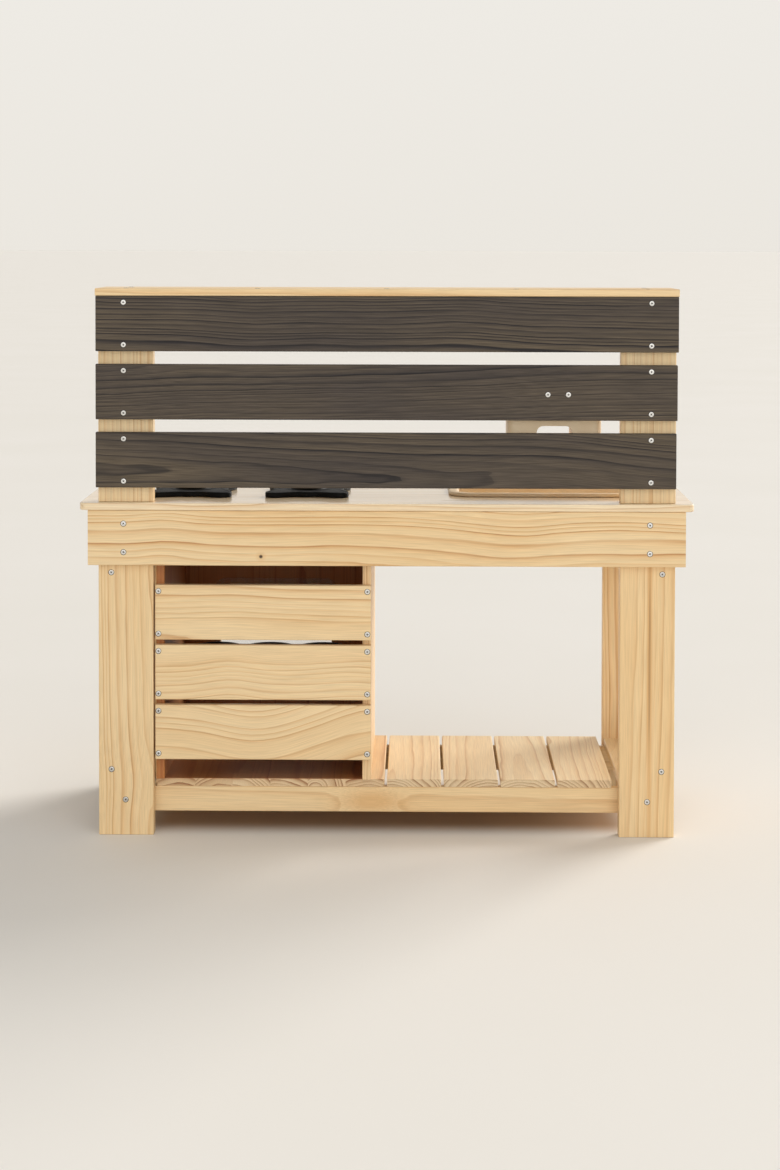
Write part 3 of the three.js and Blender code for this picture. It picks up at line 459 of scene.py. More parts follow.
# How each board in sight was cut: ring spacing in mm, pith across and through from its middle in mm,
# lean of the pith across and through in mm for each metre of length, tone from -1 pale to 1 warm,
# how far the rings sway, how strongly they show, and any swells: place, reach, lift and dig in mm.
CUTS = {
    "apron_back": (8.0, (-70, -70), (6, 8), -0.1, 0.45, 1.1,
                   (358, 45, 5, 0), (-210, 90, -7, 3), (60, 120, 4, 0)),
    "leg_back_right": (7.0, (-52, -56), (8, 10), 0.0, 0.22, 0.8, (90, 50, 0, 4)),
    "leg_back_left": (8.5, (52, -58), (-12, 8), 0.4, 0.25, 0.65),
    "leg_front_left": (8.0, (-60, -60), (4, 8), -0.8, 0.3, 0.9),
    "oven_back_slat_1": (8.0, (-52, -50), (8, 10), -0.2, 0.4, 0.9, (250, 60, 3, 0)),
    "oven_back_slat_2": (6.5, (36, -44), (0, 10), -0.3, 0.3, 0.7, (256, 50, 9, 0), (60, 60, 5, 0)),
    "oven_back_slat_3": (11.0, (-46, -30), (0, 10), -0.1, 0.3, 0.8, (215, 80, -20, 0), (10, 90, 34, 0)),
    "rail_lower_back": (13.0, (-8, -40), (4, 6), -0.1, 0.3, 0.6, (28, 40, 0, 14)),
    # The posts' pale tone is painted light: it lifts them where they stand in the boards' shade.
    "post_left": (7.5, (110, -60), (0, 6), -0.7, 0.2, 0.8),
    "post_right": (7.5, (-110, -60), (0, 6), -0.7, 0.2, 0.8),
    "back_board_1": (5.0, (-70, -50), (10, 6), 0.1, 0.25, 1.8, (-120, 80, 5, 0), (220, 70, -4, 0)),
    "back_board_2": (4.8, (58, -40), (-20, 8), -0.1, 0.35, 1.1, (300, 110, 0, 4), (-330, 120, 0, 4)),
    "back_board_3": (5.8, (-28, -48), (30, 14), 0.1, 0.35, 1.1, (-260, 130, 10, 0)),
    "top_shelf": (7.0, (0, 60), (10, 20), 0.0, 0.6, 0.8),
    # The shelf slats' pale tones are painted light, like their paler finish.
    "shelf_slat_1": (6.5, (40, -60), (6, 8), -0.5, 0.4, 0.9),
    "shelf_slat_2": (6.5, (-34, -60), (8, 10), -0.3, 0.4, 0.9),
    "shelf_slat_3": (7.0, (12, -70), (-8, 12), -0.5, 0.4, 0.9),
    "shelf_slat_4": (6.5, (50, -56), (6, -8), -0.3, 0.4, 0.9),
}
chance = np.random.default_rng(7)


# Boards that were cut a little short at their first end, in mm.
SHORT = {"back_board_2": 1.5, "back_board_3": 3.0}


def both(*names):
    """Each name with its left and then its right ending."""
    return [f"{name}_{side}" for name in names for side in ("left", "right")]


def plank(node, grain, finish=pine_board, stave_mm=0.0):
    """A planed board in place of its CAD node: a rounded rectangle of the node's section carried
    along the grain, its long edges eased to a round, its ends drawn in by half a millimetre."""
    low, high = box_of(node)
    low[grain] += SHORT.get(node, 0.0) * MM
    size, middle = high - low, (high + low) / 2
    first, second = (grain + 1) % 3, (grain + 2) % 3
    wide = max(sorted((first, second)), key=size.item)
    ease, trim = 2 * MM, 0.5 * MM
    section = rounded_loop(size[first] / 2, size[second] / 2, ease, 4)
    length = size[grain]
    # A ring of corners every 20 mm lets the swells bend the grain smoothly.
    stations = [(0, trim), (trim * 0.3, trim * 0.3)]
    stations += [(run, 0) for run in np.linspace(trim, length - trim, 2 + int(length / 0.02))]
    stations += [(length - trim * 0.3, trim * 0.3), (length, trim)]
    points = np.zeros((len(stations), len(section), 3))
    for row, (run, draw) in enumerate(stations):
        ring = inset_loop(section, draw)
        points[row][:, [first, second]] = middle[[first, second]] + ring
        points[row, :, grain] = low[grain] + run
    skin = skin_over(points)
    ring_mm, pith, lean, tone, sway, contrast, *swells = CUTS.get(node, (
        chance.uniform(6, 9), (chance.uniform(-60, 60), -chance.uniform(40, 80)),
        (chance.uniform(-15, 15), chance.uniform(-35, 35)), chance.uniform(-0.35, 0.35), 0.5, 1.0))
    if stave_mm:
        pith, lean = (0, 0), (0, 0)
    fields = timber_fields(skin[0], grain, wide, ring_mm, pith, lean, tone, chance.uniform(0, 9), stave_mm,
                           sway, contrast, swells)
    make_piece("planed_" + node, skin, finish, "frame", [node], fields)


for node in both("leg_back", "leg_front", "post"):
    plank(node, Z)
for node in ("apron_back", "rail_lower_back", "rail_lower_front", "oven_back_slat_1", "oven_back_slat_2",
             "oven_back_slat_3", "top_shelf"):
    plank(node, X)
for node in (*both("apron", "rail_upper", "rail_lower"), "rack_cleat_inner", "rack_cleat_outer"):
    plank(node, Y)
for node in ("shelf_slat_1", "shelf_slat_2", "shelf_slat_3", "shelf_slat_4", *both("shelf_end_slat")):
    plank(node, Y, pine_shelf)
plank("shelf_panel", Y, pine_panel, stave_mm=62)
plank("oven_side_inner", Z, pine_panel, stave_mm=54)
plank("oven_side_outer", Z, pine_panel, stave_mm=54)
for node in ("back_board_1", "back_board_2", "back_board_3"):
    plank(node, X, charcoal_board)


def radial(loop, angles):
    """How far a closed outline lies from the origin at each angle: the ray from the origin is cut
    with the edge that spans it, distance = cross(start, edge) / cross(ray, edge)."""
    turn = np.mod(np.arctan2(loop[:, 1], loop[:, 0]), 2 * math.pi)
    order = np.argsort(turn)
    loop, turn = loop[order], turn[order]
    at = (np.searchsorted(turn, angles, side="right") - 1) % len(loop)
    start, edge = loop[at], np.roll(loop, -1, 0)[at] - loop[at]
    ray = np.stack([np.cos(angles), np.sin(angles)], -1)
    reach = start[:, 0] * edge[:, 1] - start[:, 1] * edge[:, 0]
    return reach / (ray[:, 0] * edge[:, 1] - ray[:, 1] * edge[:, 0])


def eased_climb(low, high, ease):
    """Inset and level of the rings that climb a slab's edge and turn it to a round at both faces."""
    drawn = [(0.0, ease), (0.29 * ease, 0.29 * ease), (ease, 0.0)]
    return [(draw, low + rise) for rise, draw in drawn] + [(draw, high - rise) for rise, draw in drawn[::-1]]


def holed_slab(outer, hole, low, high, ease):
    """A slab with a hole: outer edge and hole edge are read at the same angles round the hole's
    middle, each is eased to a round, and the rings run outside, top, hole, bottom and close."""
    centre = hole.mean(0)
    turns = np.concatenate([np.arctan2(*(loop - centre).T[::-1]) for loop in (outer, hole)])
    angles = np.unique(np.round(np.mod(turns, 2 * math.pi), 5))
    ray = np.stack([np.cos(angles), np.sin(angles)], -1)
    outside, inside = (ray * radial(loop - centre, angles)[:, None] + centre for loop in (outer, hole))
    climb = eased_climb(low, high, ease)
    rings = [(outside, draw, level) for draw, level in climb]
    rings += [(inside, -draw, level) for draw, level in climb[::-1]]
    return skin_over([at_level(inset_loop(loop, draw), level) for loop, draw, level in rings], closed=True)


def box_loop(low, high, first, second, radius, facets):
    """The rounded outline of a box seen along its third axis."""
    half, middle = (high - low) / 2, (high + low) / 2
    return rounded_loop(half[first], half[second], radius * MM, facets) + middle[[first, second]]


basin_low, basin_high = box_of("sink_basin")
basin_middle, basin_half = (basin_low + basin_high) / 2, (basin_high - basin_low) / 2

# Worktop: edge-glued boards with a rounded cut-out for the sink.
top_low, top_high = box_of("worktop")
rim_lap, rim_corner = 13.8 * MM, 42 * MM
cutout = rounded_loop(*(basin_half[:2] - rim_lap), rim_corner - rim_lap, 8) + basin_middle[:2]
skin = holed_slab(box_loop(top_low, top_high, X, Y, 12, 8), cutout, top_low[2], top_high[2], 1.5 * MM)
# Its pale tone is painted light too, for the bright light on its top.
make_piece("edge_glued_worktop", skin, pine_worktop, "frame", ["worktop"],
           timber_fields(skin[0], X, Y, 7.5, (0, 0), (0, 0), -0.5, 3.0, 68))

# Oven door: one glued panel with a round-cornered window.
door_low, door_high = box_of("oven_door")
pane_low, pane_high = box_of("window_pane")
pane_lap = 12 * MM
window = box_loop(pane_low + pane_lap, pane_high - pane_lap, X, Z, 22, 8)
skin = stand_up(holed_slab(box_loop(door_low, door_high, X, Z, 2, 4), window, -door_high[1], -door_low[1],
                           2 * MM))
make_piece("glazed_oven_door", skin, pine_panel, "door", ["oven_door"],
           timber_fields(skin[0], Z, X, 8.0, (0, 0), (0, 0), 0.0, 1.0, 70))


def solid_slab(outline, low, high, ease):
    """A slab without a hole: the outline is drawn in to a round at both faces and capped flat."""
    climb = eased_climb(low, high, ease)
    return skin_over([at_level(inset_loop(outline, draw), level) for draw, level in climb])


def round_off(start, corner, end, steps):
    """A curve that starts towards a corner and ends away from it:
    (1-t)^2 start + 2t(1-t) corner + t^2 end."""
    t = np.linspace(0, 1, steps + 1)[:, None]
    return (1 - t) ** 2 * np.array(start) + 2 * t * (1 - t) * np.array(corner) + t ** 2 * np.array(end)


def gusset(node):
    """A shelf gusset: two straight edges in the corner and a hollow curve between its toes."""
    low, high = box_of(node)
    depth, height, toe = high[1] - low[1], high[2] - low[2], 14 * MM
    curve = round_off((toe, -height), (toe, -toe), (depth, -toe), 24)
    outline = np.vstack([[0, 0], [0, -height], curve, [depth, 0]])
    flat, faces = solid_slab(outline, -high[0], -low[0], 1.5 * MM)
    points = np.column_stack([-flat[:, 2], high[1] - flat[:, 0], high[2] + flat[:, 1]])
    make_piece("sawn_" + node, (points, faces), pine_board, "frame", [node],
               timber_fields(points, Z, Y, 7.0, (30, -40), (40, 30), 0.1, chance.uniform(0, 9)))


for node in both("shelf_gusset"):
    gusset(node)


SHARP = math.radians(38)


def refined(node, making, finish, body, round_mm=0.0, timber=None):
    """A CAD node's own skin, copied, its corners merged and its flats joined, then its sharp
    edges rounded by a bevel and its round faces shaded smooth. Its name starts with its making."""
    skin = bmesh.new()
    skin.from_mesh(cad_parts[node].data)
    bmesh.ops.remove_doubles(skin, verts=skin.verts, dist=1e-6)
    bmesh.ops.dissolve_limit(skin, angle_limit=math.radians(0.5), verts=skin.verts, edges=skin.edges)
    points = np.array([vert.co[:] for vert in skin.verts])
    faces = [[vert.index for vert in face.verts] for face in skin.faces]
    skin.free()
    piece = make_piece(f"{making}_{node}", (points, faces), finish, body, [node],
                       timber(points) if timber else None)
    piece.data.set_sharp_from_angle(angle=SHARP)
    if round_mm:
        bevel = piece.modifiers.new("rounded edges", "BEVEL")
        bevel.width, bevel.segments, bevel.angle_limit = round_mm * MM, 3, SHARP
        piece.modifiers.move(1, 0)


# The front apron is bored for the knob spindles, so it keeps its CAD skin.
refined("apron_front", "bored", pine_board, "frame",
        timber=lambda points: timber_fields(points, X, Z, 8.0, (-50, 60), (20, 40), 0.0, 5.0, sway=0.5,
                                            contrast=0.85))
refined("water_tank", "moulded", moulded_beige, "tank", 1.6)
refined("tap_body", "moulded", moulded_black, "tank", 0.7)
refined("tap_lever", "moulded", moulded_black, "lever", 0.9)
refined("tank_bracket", "folded", zinc_plate, "frame", 0.6)
for node in both("post_angle"):
    refined(node, "folded", zinc_plate, "frame", 0.7)
for place in ("upper", "lower"):
    for part, making, body in (("frame_leaf", "rolled", "frame"), ("door_leaf", "rolled", "door"),
                               ("pin", "turned", "frame")):
        refined(f"hinge_{place}_{part}", making, zinc_plate, body, 0.3)


def rounded_rings(rings, centre, facets):
    """A skin through rounded rectangles, each given by half width, half depth, corner radius
    and height in mm, from the middle of the first to the middle of the last."""
    return skin_over([at_level(rounded_loop(width * MM, depth * MM, radius * MM, facets) + centre[:2],
                               centre[2] + level * MM) for width, depth, radius, level in rings])


def basin():
    """The sink: up the outside of the bowl, round the rolled rim, down the tapered inside, and
    over the floor to a round drain with its plug. Each ring is the rim drawn in by an inset."""
    half_x, half_y = basin_half[:2] / MM
    rim = 6
    deep = (basin_high[2] - basin_low[2]) / MM - rim

    def ring(inset, level):
        return (half_x - inset, half_y - inset, max(rim_corner / MM - inset, 3.0), level)

    rings = [ring(34, -deep), ring(29, -deep + 0.7), ring(25.5, -deep + 3), ring(24, -deep + 8),
             ring(15.4, -2.5), ring(14.6, 0), ring(1.5, 0), ring(0.3, 0.6), ring(0, 1.8), ring(0, 3.4),
             ring(0.5, 4.9), ring(1.8, 5.8), ring(3.5, 6), ring(11, 6), ring(13.6, 5.7), ring(15.8, 4.6),
             ring(17.3, 2.6), ring(18.2, 0), ring(27, -deep + 12), ring(28.5, -deep + 7.2),
             ring(32, -deep + 4.2), ring(38, -deep + 3.2)]
    drain = [(30, 3), (26, 2.8), (24, 1.4), (19, 1.4), (18, 3.4), (16.5, 4.2), (5, 4.4), (4, 8), (2.6, 9)]
    rings += [(radius, radius, radius - 0.01, rise - deep) for radius, rise in drain]
    skin = rounded_rings(rings, (*basin_middle[:2], basin_high[2] - rim * MM), 12)
    make_piece("moulded_sink_basin", skin, moulded_beige, "basin", ["sink_basin"])


basin()


def polar_shell(centre, axes, rows, turn):
    """A closed shell of rings round an axis, with corners at the angles in turn. Each row gives a
    radius, the same all round or one for each angle, and a height, in mm; axes are the two
    directions of the ring and the axis itself, right-handed."""
    across, upward, outward = (np.array(axis, float) for axis in axes)
    points = np.array([(np.cos(turn) * radius)[:, None] * across + (np.sin(turn) * radius)[:, None] * upward
                       + level * outward for radius, level in rows])
    return skin_over(points * MM + np.array(centre))


def burner(node):
    """A moulded burner plate: the outline is 1 - 0.242 cos 4a + 0.091 cos 8a, scaled to the
    reach, with an eased edge, two shallow grooves and a round cap."""
    low, high = box_of(node)
    turn = full_turn(144)
    outline = 1 + 0.242 * np.cos(4 * turn - math.pi) + 0.091 * np.cos(8 * turn)
    outline = outline / (outline * np.cos(turn)).max() * (high[0] - low[0]) / 2 / MM
    rows = [(outline - 1.2, 0), (outline - 0.3, 0.4), (outline, 1.4), (outline, 7), (outline - 0.5, 8.1),
            (outline - 1.8, 8.5), (outline - 6, 8.5), (outline - 7, 7.9), (outline - 9, 7.9),
            (outline - 10, 8.5), ((outline + 46) / 2 - 4, 8.5), (42, 8.5), (41, 7.9), (38.5, 7.9),
            (37.5, 8.5), (31, 8.5), (30, 8.9), (29.6, 11), (28.4, 11.9), (26, 12), (9, 12), (8, 11.4),
            (2, 11.2)]
    skin = polar_shell((*(low + high)[:2] / 2, low[2]), UPRIGHT, rows, turn)
    make_piece("moulded_" + node, skin, moulded_black, "frame", [node])


for node in both("burner_plate"):
    burner(node)


def knob(node, body):
    """A fluted knob: its edge is a circle cut by eight round flutes, and inside a flute its radius is
    reach cos off - sqrt(flute^2 - (reach sin off)^2), where off is the angle from the flute's middle.
    It is drawn in towards the front and has a raised pointer and a spindle."""
    low, high = box_of(node)
    middle = (low + high) / 2
    outer, flute, length = 22, 6, 20
    base = (high[1] - low[1]) / MM - length
    turn = full_turn(192)
    off = np.mod(turn, math.pi / 4) - math.pi / 8
    reach = 26.0

    def edge(radius, bite=1.0):
        inside = np.clip(flute ** 2 - (reach * np.sin(off)) ** 2, 0, None)
        cut = np.where(inside > 0, reach * np.cos(off) - np.sqrt(inside), outer)
        return np.minimum(radius, radius - (outer - np.minimum(cut, outer)) * bite)

    rows = [(edge(19.5), 0), (edge(20.8), 0.5), (edge(21.7), 1.5), (edge(outer), 3), (edge(20.6), 11),
            (edge(19.2), 17), (edge(18.6), 18.6), (edge(17.2, 0.8), 19.6), (edge(15.8, 0.3), length),
            (edge(13.5, 0), 19), (edge(4, 0), 18.7)]
    seat = (middle[0], high[1] - base * MM, middle[2])
    grip = polar_shell(seat, FORWARDS, rows, turn)
    spindle = polar_shell(seat, FORWARDS, [(2.6, -base), (3, -base + 0.5), (3, 1)], full_turn(24))
    bar = rounded_loop(1.1 * MM, 7.5 * MM, 1.0 * MM, 4) + [middle[0], middle[2] + 9.5 * MM]
    pointer = stand_up(solid_slab(bar, -low[1] - 2.0 * MM, -low[1], 0.3 * MM))
    make_piece("moulded_" + node, joined([grip, spindle, pointer]), moulded_black, body,
               [node])


knob("knob_left", "left_knob")
knob("knob_right", "right_knob")


def bent_path(corners, bend, steps=8):
    """A line of straight runs whose corners are rounded off from bend mm before to bend mm after."""
    corners = np.array(corners, float)
    runs = [corners[:1]]
    for before, corner, after in zip(corners[:-2], corners[1:-1], corners[2:]):
        start, end = (corner + unit_length(far - corner) * bend for far in (before, after))
        runs.append(round_off(start, corner, end, steps))
    return np.vstack(runs + [corners[-1:]])


def rod(path, radius, plane, facets, closed=False):
    """A round rod along a path that lies in one plane: at each point the section is a circle in
    the directions of the plane's normal and of the run's cross with it. Ends are domed."""
    path = np.array(path, float)
    ahead, behind = np.roll(path, -1, 0) - path, path - np.roll(path, 1, 0)
    if not closed:
        ahead[-1], behind[0] = behind[-1], ahead[0]
    run = unit_length(unit_length(ahead) + unit_length(behind))
    girth = np.full(len(path), radius)
    if not closed:
        lift = np.array([1.0, 0.75, 0.35])[:, None] * radius * 0.5
        path = np.vstack([path[0] - run[0] * (lift - radius * 0.5), path[1:-1],
                          path[-1] + run[-1] * (lift[::-1] - radius * 0.5)])
        run = np.vstack([np.repeat(run[:1], 3, 0), run[1:-1], np.repeat(run[-1:], 3, 0)])
        girth = np.concatenate([[radius * 0.5, radius * 0.85, radius], girth[1:-1],
                                [radius, radius * 0.85, radius * 0.5]])
    normal = np.tile(np.array(plane, float), (len(path), 1))
    other = np.cross(run, normal)
    turn = full_turn(facets)
    points = (path[:, None] + girth[:, None, None] * (np.cos(turn)[None, :, None] * normal[:, None]
                                                      + np.sin(turn)[None, :, None] * other[:, None]))
    return skin_over(points * MM, closed)


# Thickness in mm of the hook strip, the tank's bracket, the hinge leaves and the posts' angles.
HOOK_STRIP, BRACKET_SHEET, HINGE_SHEET, ANGLE_SHEET = 2.5, 2.0, 1.6, 2.5


def hook_rail():
    """A pressed strip with six wire hooks: each runs out of the strip, bends up and ends round."""
    low, high = box_of("hook_rail", MM)
    wire, half_strip = 2.0, 12
    strip = rounded_loop((high[0] - low[0]) / 2 * MM, half_strip * MM, 5 * MM, 5)
    strip += [(low[0] + high[0]) / 2 * MM, (low[2] + half_strip) * MM]
    shells = [stand_up(solid_slab(strip, -high[1] * MM, (HOOK_STRIP - high[1]) * MM, 0.5 * MM))]
    front, foot = low[1] + wire, low[2] + wire
    for x in np.linspace(low[0] + 20, high[0] - 20, 6):
        hook = [(x, high[1] - 1.5, foot), (x, front, foot), (x, front, low[2] + 14)]
        shells.append(rod(bent_path(hook, 7), wire, (1, 0, 0), 14))
    make_piece("bent_hook_rail", joined(shells), powder_coat, "frame", ["hook_rail"])


hook_rail()


def rack():
    """The oven rack: a round frame rod bent to a rectangle, with nine thinner wires welded on."""
    low, high = box_of("oven_rack", MM)
    thick, thin = 2.5, 1.75
    x0, y0, z0 = low + thick
    x1, y1, _ = high - thick
    middle = ((x0 + x1) / 2, y0, z0)
    loop = bent_path([middle, (x1, y0, z0), (x1, y1, z0), (x0, y1, z0), (x0, y0, z0), middle], 9)
    shells = [rod(loop[:-1], thick, (0, 0, 1), 14, closed=True)]
    for x in np.linspace(x0, x1, 11)[1:-1]:
        wire = [(x, y, z0 + thick - thin) for y in (y0 - 1, (y0 + y1) / 2, y1 + 1)]
        shells.append(rod(wire, thin, (0, 0, 1), 12))
    make_piece("welded_oven_rack", joined(shells), powder_coat, "rack", ["oven_rack"])


rack()


def tray():
    """The three-well tray: pressed cups with rolled rims, joined by flat bridges."""
    low, high = box_of("oven_tray", MM)
    centre_y = (low[1] + high[1]) / 2
    widest = 42.5
    profile = [(27.5, 0), (28.6, 0.5), (29.6, 1.8), (37.2, 26.6), (38.4, 27), (41.6, 27), (widest, 27.6),
               (widest, 28.4), (41.8, 29), (38, 29), (36.4, 28.4), (35.3, 27), (27.8, 3.4), (26.6, 2.3),
               (25, 2)]
    centres = np.linspace(low[0] + widest, high[0] - widest, 3)
    shells = [polar_shell((x * MM, centre_y * MM, low[2] * MM), UPRIGHT, profile, full_turn(48))
              for x in centres]
    for x in (centres[:-1] + centres[1:]) / 2:
        strip = rounded_loop(10 * MM, 23 * MM, 1 * MM, 3) + [x * MM, centre_y * MM]
        shells.append(solid_slab(strip, (low[2] + 27.1) * MM, (low[2] + 28.9) * MM, 0.3 * MM))
    make_piece("pressed_oven_tray", joined(shells), powder_coat, "tray", ["oven_tray"])


tray()


def handle():
    """The bow handle of the oven door, a bent rod that stands on two small round feet."""
    low, high = box_of("door_handle", MM)
    x = (low[0] + high[0]) / 2
    thick = 4.5
    front, back, bottom, top = low[1] + thick, high[1], low[2] + thick, high[2] - thick
    bow = [(x, back - 0.3, bottom), (x, front, bottom), (x, front, top), (x, back - 0.3, top)]
    shells = [rod(bent_path(bow, 11, 10), thick, (1, 0, 0), 20)]
    foot = [(7.6, 0), (8, 0.4), (7.6, 1.4), (6, 2)]
    for z in (bottom, top):
        shells.append(polar_shell((x * MM, back * MM, z * MM), FORWARDS, foot, full_turn(32)))
    make_piece("bent_door_handle", joined(shells), powder_coat, "door", ["door_handle"])


handle()

# The pane: a clear sheet with polished edges, held behind the door's window.
skin = stand_up(solid_slab(box_loop(pane_low, pane_high, X, Z, 22, 8), -pane_high[1], -pane_low[1],
                           0.3 * MM))
make_piece("cut_window_pane", skin, clear_acrylic, "door", ["window_pane"])


BACK, FRONT, TOP = (0, 1, 0), (0, -1, 0), (0, 0, 1)


def screws(name, outward, face, spots, radius=4.2, body="frame"):
    """Countersunk cross-head screws at spots on a face; a spot's two places along the face and the
    face's own place on its outward axis are in metres. Round each centre run rings of 32 corners:
    the shaded gap round the head, its edge, its flat face, and a cross-shaped recess. The edge of
    that is the smaller of 2.0 / cos a and 0.5 / sin a on a head with a radius of 4.5 mm."""
    turn = np.sort(np.concatenate([np.arange(8) * math.pi / 4 + shift for shift in (0, 0.13, 0.235, 0.5)]))
    bend = np.abs(np.mod(turn + math.pi / 4, math.pi / 2) - math.pi / 4)
    cross = np.minimum(2.0 / np.cos(bend), 0.5 / np.maximum(np.sin(bend), 0.01)) * radius / 4.5
    rows = [(radius * 1.1, -0.3), (radius * 1.16, 0.06), (radius * 0.98, 0.1), (radius * 0.95, 0.3),
            (radius * 0.88, 0.46), (radius * 0.78, 0.5), (cross * 1.2, 0.5), (cross * 1.08, 0.44),
            (cross * 0.8, 0.12)]
    local, faces = polar_shell((0, 0, 0), UPRIGHT, rows, turn)
    outward = np.array(outward, float)
    places = np.insert(np.array(spots, float), np.abs(outward).argmax(), face, axis=1)
    across = np.cross(outward, (0, 0, 1) if abs(outward[2]) < 0.5 else (0, 1, 0))
    upward = np.cross(outward, across)
    gap_rings, recess_ring = 3, len(rows) - 1
    dark = [not gap_rings * len(turn) <= max(face) < recess_ring * len(turn) for face in faces]
    shells = []
    for place in places:
        spin = chance.uniform(0, math.pi / 2)
        first = across * math.cos(spin) + upward * math.sin(spin)
        second = np.cross(outward, first)
        shells.append((local @ np.array([first, second, outward]) + place, faces))
    piece = make_piece(name, joined(shells), screw_zinc, body)
    piece.data.materials.append(recess_shadow)
    piece.data.polygons.foreach_set("material_index", np.tile(dark, len(places)).astype(np.int32))


# The faces that the screws sit in.
back_face = box_of("apron_back")[1][1]
leg_face = box_of("leg_back_left")[1][1]
front_face = box_of("apron_front")[0][1]
front_leg_face = box_of("leg_front_left")[0][1]
side_face = box_of("apron_right")[1][0]
shelf_face = box_of("top_shelf")[1][2]
bracket_face = box_of("tank_bracket")[1][1] - BRACKET_SHEET * MM
hook_strip_face = box_of("hook_rail")[1][1] - HOOK_STRIP * MM
hinge_leaf_face = box_of("hinge_upper_frame_leaf")[1][1] - HINGE_SHEET * MM
angle_low, angle_high = box_of("post_angle_left")

# Where they sit along those faces: how far from a board's or slat's long edge, the middle of the
# posts, the axis of the hinge pins, and places across and up.
board_edge, slat_edge = 10.5 * MM, 10 * MM
post_x, pin_x = 0.426, 0.37975
board_ends, slat_ends = (0.4276, -0.429), (0.373, 0.031)
bracket_spots = [(-0.2616, 0.726), (-0.2947, 0.726)]
apron_rows = (0.514, 0.4674)
apron_spots = [(x, z) for x in (0.428, -0.428) for z in apron_rows]
leg_spots = [(side * x, z) for side in (1, -1)
             for x, z in ((0.450, 0.432), (0.450, 0.108), (0.427, 0.058))]


def end_spots(node, ends, edge):
    """Two spots at each end of the three boards in a stack, edge in from their upper and lower edge."""
    boxes = [box_of(f"{node}_{row}") for row in (1, 2, 3)]
    return [(x, z) for low, high in boxes for x in ends for z in (high[2] - edge, low[2] + edge)]


screws("back_board_screws", BACK, back_face,
       end_spots("back_board", board_ends, board_edge) + bracket_spots)
screws("back_apron_screws", BACK, back_face, apron_spots)
screws("back_leg_screws", BACK, leg_face, leg_spots)
screws("oven_slat_screws", BACK, leg_face, end_spots("oven_back_slat", slat_ends, slat_edge))
screws("front_apron_screws", FRONT, front_face, apron_spots)
screws("front_leg_screws", FRONT, front_leg_face, leg_spots)
for side, sign in (("left", -1), ("right", 1)):
    screws("side_apron_screws_" + side, (sign, 0, 0), sign * side_face,
           [(y, z) for y in (0.1758, -0.1518) for z in apron_rows])
screws("top_shelf_screws", TOP, shelf_face, [(x, y) for x in (post_x, -post_x) for y in (0.110, 0.176)]
       + [(x, 0.1955) for x in (0.21, 0.0, -0.21)])
screws("post_angle_screws", FRONT, angle_high[1] - ANGLE_SHEET * MM,
       [(side * post_x + x, z) for side in (1, -1) for x, z in ((-0.009, 0.565), (0.009, 0.577))], 3.6)
screws("worktop_angle_screws", TOP, angle_low[2] + ANGLE_SHEET * MM,
       [(side * post_x + x, y) for side in (1, -1) for x, y in ((-0.009, 0.147), (0.009, 0.135))], 3.6)
screws("hook_rail_screws", FRONT, hook_strip_face, [(x, 0.842) for x in (0.2925, 0.1145, -0.0635)], 3.2)
for word, middle in (("upper", 0.3908), ("lower", 0.1435)):
    for body, side in (("frame", 1), ("door", -1)):
        screws(f"hinge_{word}_{body}_screws", FRONT, hinge_leaf_face,
               [(pin_x + side * 0.0178, middle + rise) for rise in (0.016, -0.016)], 3.0, body)
for part, sign in (("inner", 1), ("outer", -1)):
    low, high = box_of("rack_cleat_" + part)
    screws(f"rack_cleat_{part}_screws", (sign, 0, 0), (high if sign > 0 else low)[0],
           [(y, (low[2] + high[2]) / 2) for y in (-0.09, 0.11)], 3.4)
screws("bracket_screws", FRONT, bracket_face, bracket_spots, 3.6)


# Floor, light and camera

def pale_floor():
    """A wide, nearly white floor with a barely visible unevenness."""
    material, tree, shader = new_finish("pale_studio_floor", Roughness=0.7)
    spot = object_place(tree)
    colour = blend(tree, noise(tree, spot, 1.3), linear("ece9e4"), linear("e7e4dd"))
    # Painted shade: under the low shelf hardly any light arrives, and what does comes off the pine, so the
    # floor there is painted darker and browner.
    beyond = vectors(tree, "SUBTRACT", vectors(tree, "ABSOLUTE", spot), (0.36, 0.10, 1.0))
    away = vectors(tree, "LENGTH", vectors(tree, "MAXIMUM", beyond, (0, 0, 0)))
    painted_shade_share = remap(tree, away, 0.0, 0.09, 1.0, 0.0, interpolation_type="SMOOTHSTEP")
    painted_shade_brown = vectors(tree, "MULTIPLY", colour, (0.5, 0.34, 0.22))
    tree.links.new(blend(tree, painted_shade_share, colour, painted_shade_brown), shader.inputs["Base Color"])
    mesh = bpy.data.meshes.new("studio_floor")
    reach = 180.0
    mesh.from_pydata([(-reach, -reach, 0), (reach, -reach, 0), (reach, reach, 0), (-reach, reach, 0)], [],
                     [(0, 1, 2, 3)])
    mesh.materials.append(material)
    floor = put("studio_floor", mesh)
    floor.location.z = -0.0002


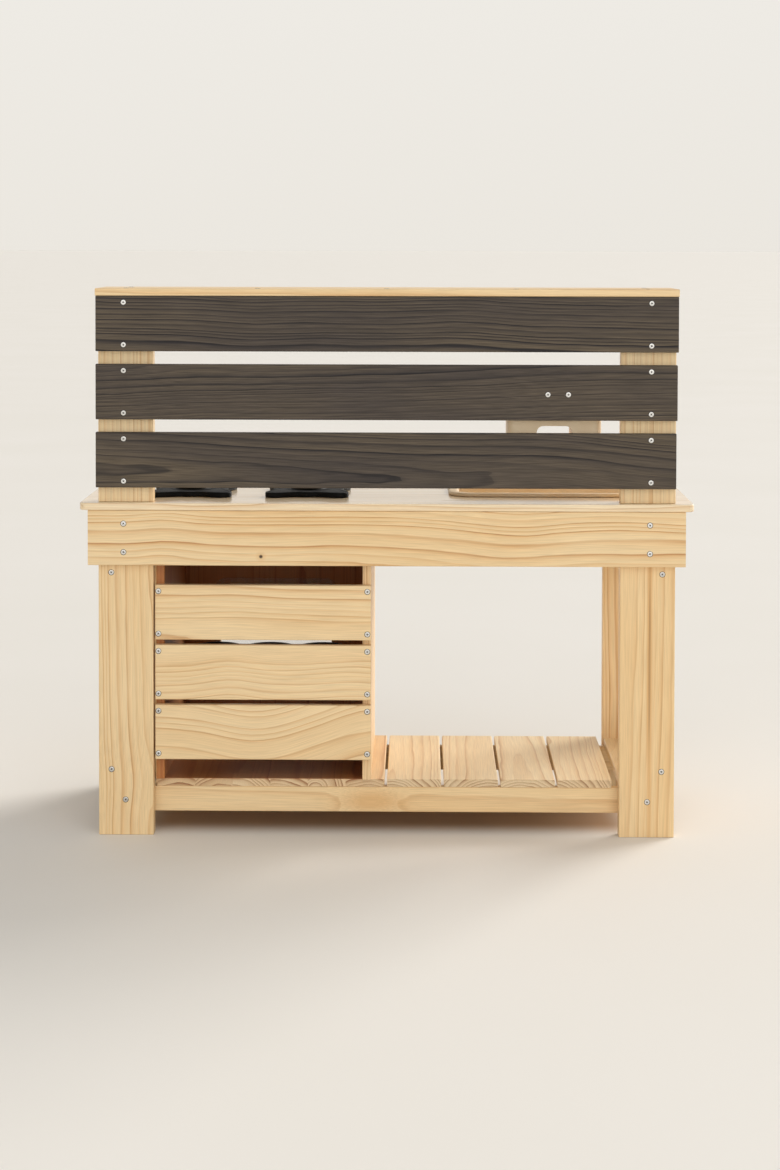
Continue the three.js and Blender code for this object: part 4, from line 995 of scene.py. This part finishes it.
def soft_light(name, place, strength, spread, colour="ffffff"):
    """A far, wide soft light that shines from a place towards the kitchen; spread is the angle in
    degrees that it fills in the sky."""
    light = bpy.data.lights.new(name, "SUN")
    light.energy = strength
    light.angle = math.radians(spread)
    light.color = linear(colour)[:3]
    lamp = put(name, light)
    back = unit_length(np.array(place, float))
    side = unit_length(np.cross((0, 0, 1), back))
    up = np.cross(back, side)
    lamp.matrix_world = Matrix([[*row, spot] for row, spot in zip(np.column_stack([side, up, back]), place)]
                               + [[0, 0, 0, 1]])


def stand_camera():
    """The camera behind the kitchen: turned, tipped and rolled from a level view along -Y by the
    angles that lay the model's edges on the photograph's."""
    turn, tip, roll = (math.radians(angle) for angle in (0.763, -1.70, -0.109))
    level = Matrix(((-1, 0, 0), (0, 0, 1), (0, 1, 0))).to_4x4()
    about_up = Matrix.Rotation(turn, 4, "Z")
    in_camera = Matrix.Rotation(tip, 4, "X") @ Matrix.Rotation(-roll, 4, "Z")
    camera_data = bpy.data.cameras.new("camera")
    camera_data.sensor_width = 36.0
    # A distance of 2184.8 pixels to the picture plane, over the 1170 pixels of its height.
    camera_data.lens = 2184.8 / 1170 * camera_data.sensor_width
    camera_data.shift_y = -0.24
    camera_data.clip_start = 0.05
    camera_data.clip_end = 200.0
    camera = put("camera", camera_data)
    place = Matrix.Translation((-0.0524, 3.74, 0.9772))
    camera.matrix_world = place @ about_up @ level @ in_camera
    scene.camera = camera


def pale_room():
    """A studio's soft surround: bright near the horizon, where the paper backdrop stands, and
    dimmer overhead. Brightness is a ramp over the height of the direction."""
    world = bpy.data.worlds.new("pale_room")
    world.use_nodes = True
    tree = world.node_tree
    height = split(tree, add(tree, "TexCoord").outputs["Generated"])[2]
    sky = add(tree, "ValToRGB", {0: remap(tree, height, -0.5, 0.8)}, stops=[
        (0.0, linear("8f8b84")), (0.3, linear("e9e4db")), (0.5, linear("efece6")), (0.62, linear("a9a7a3")),
        (1.0, linear("8f8d8a"))])
    background = tree.nodes["Background"]
    tree.links.new(sky.outputs[0], background.inputs["Color"])
    scene.world = world


pale_floor()
soft_light("window_soft_light", (-3.0, -2.6, 1.8), 2.8, 34, "fffaf4")
soft_light("camera_side_soft_light", (-0.6, 4.4, 2.0), 1.17, 70)
soft_light("overhead_soft_light", (-0.6, -0.6, 4.2), 0.5, 80)
stand_camera()
pale_room()
scene.view_settings.view_transform = "Standard"
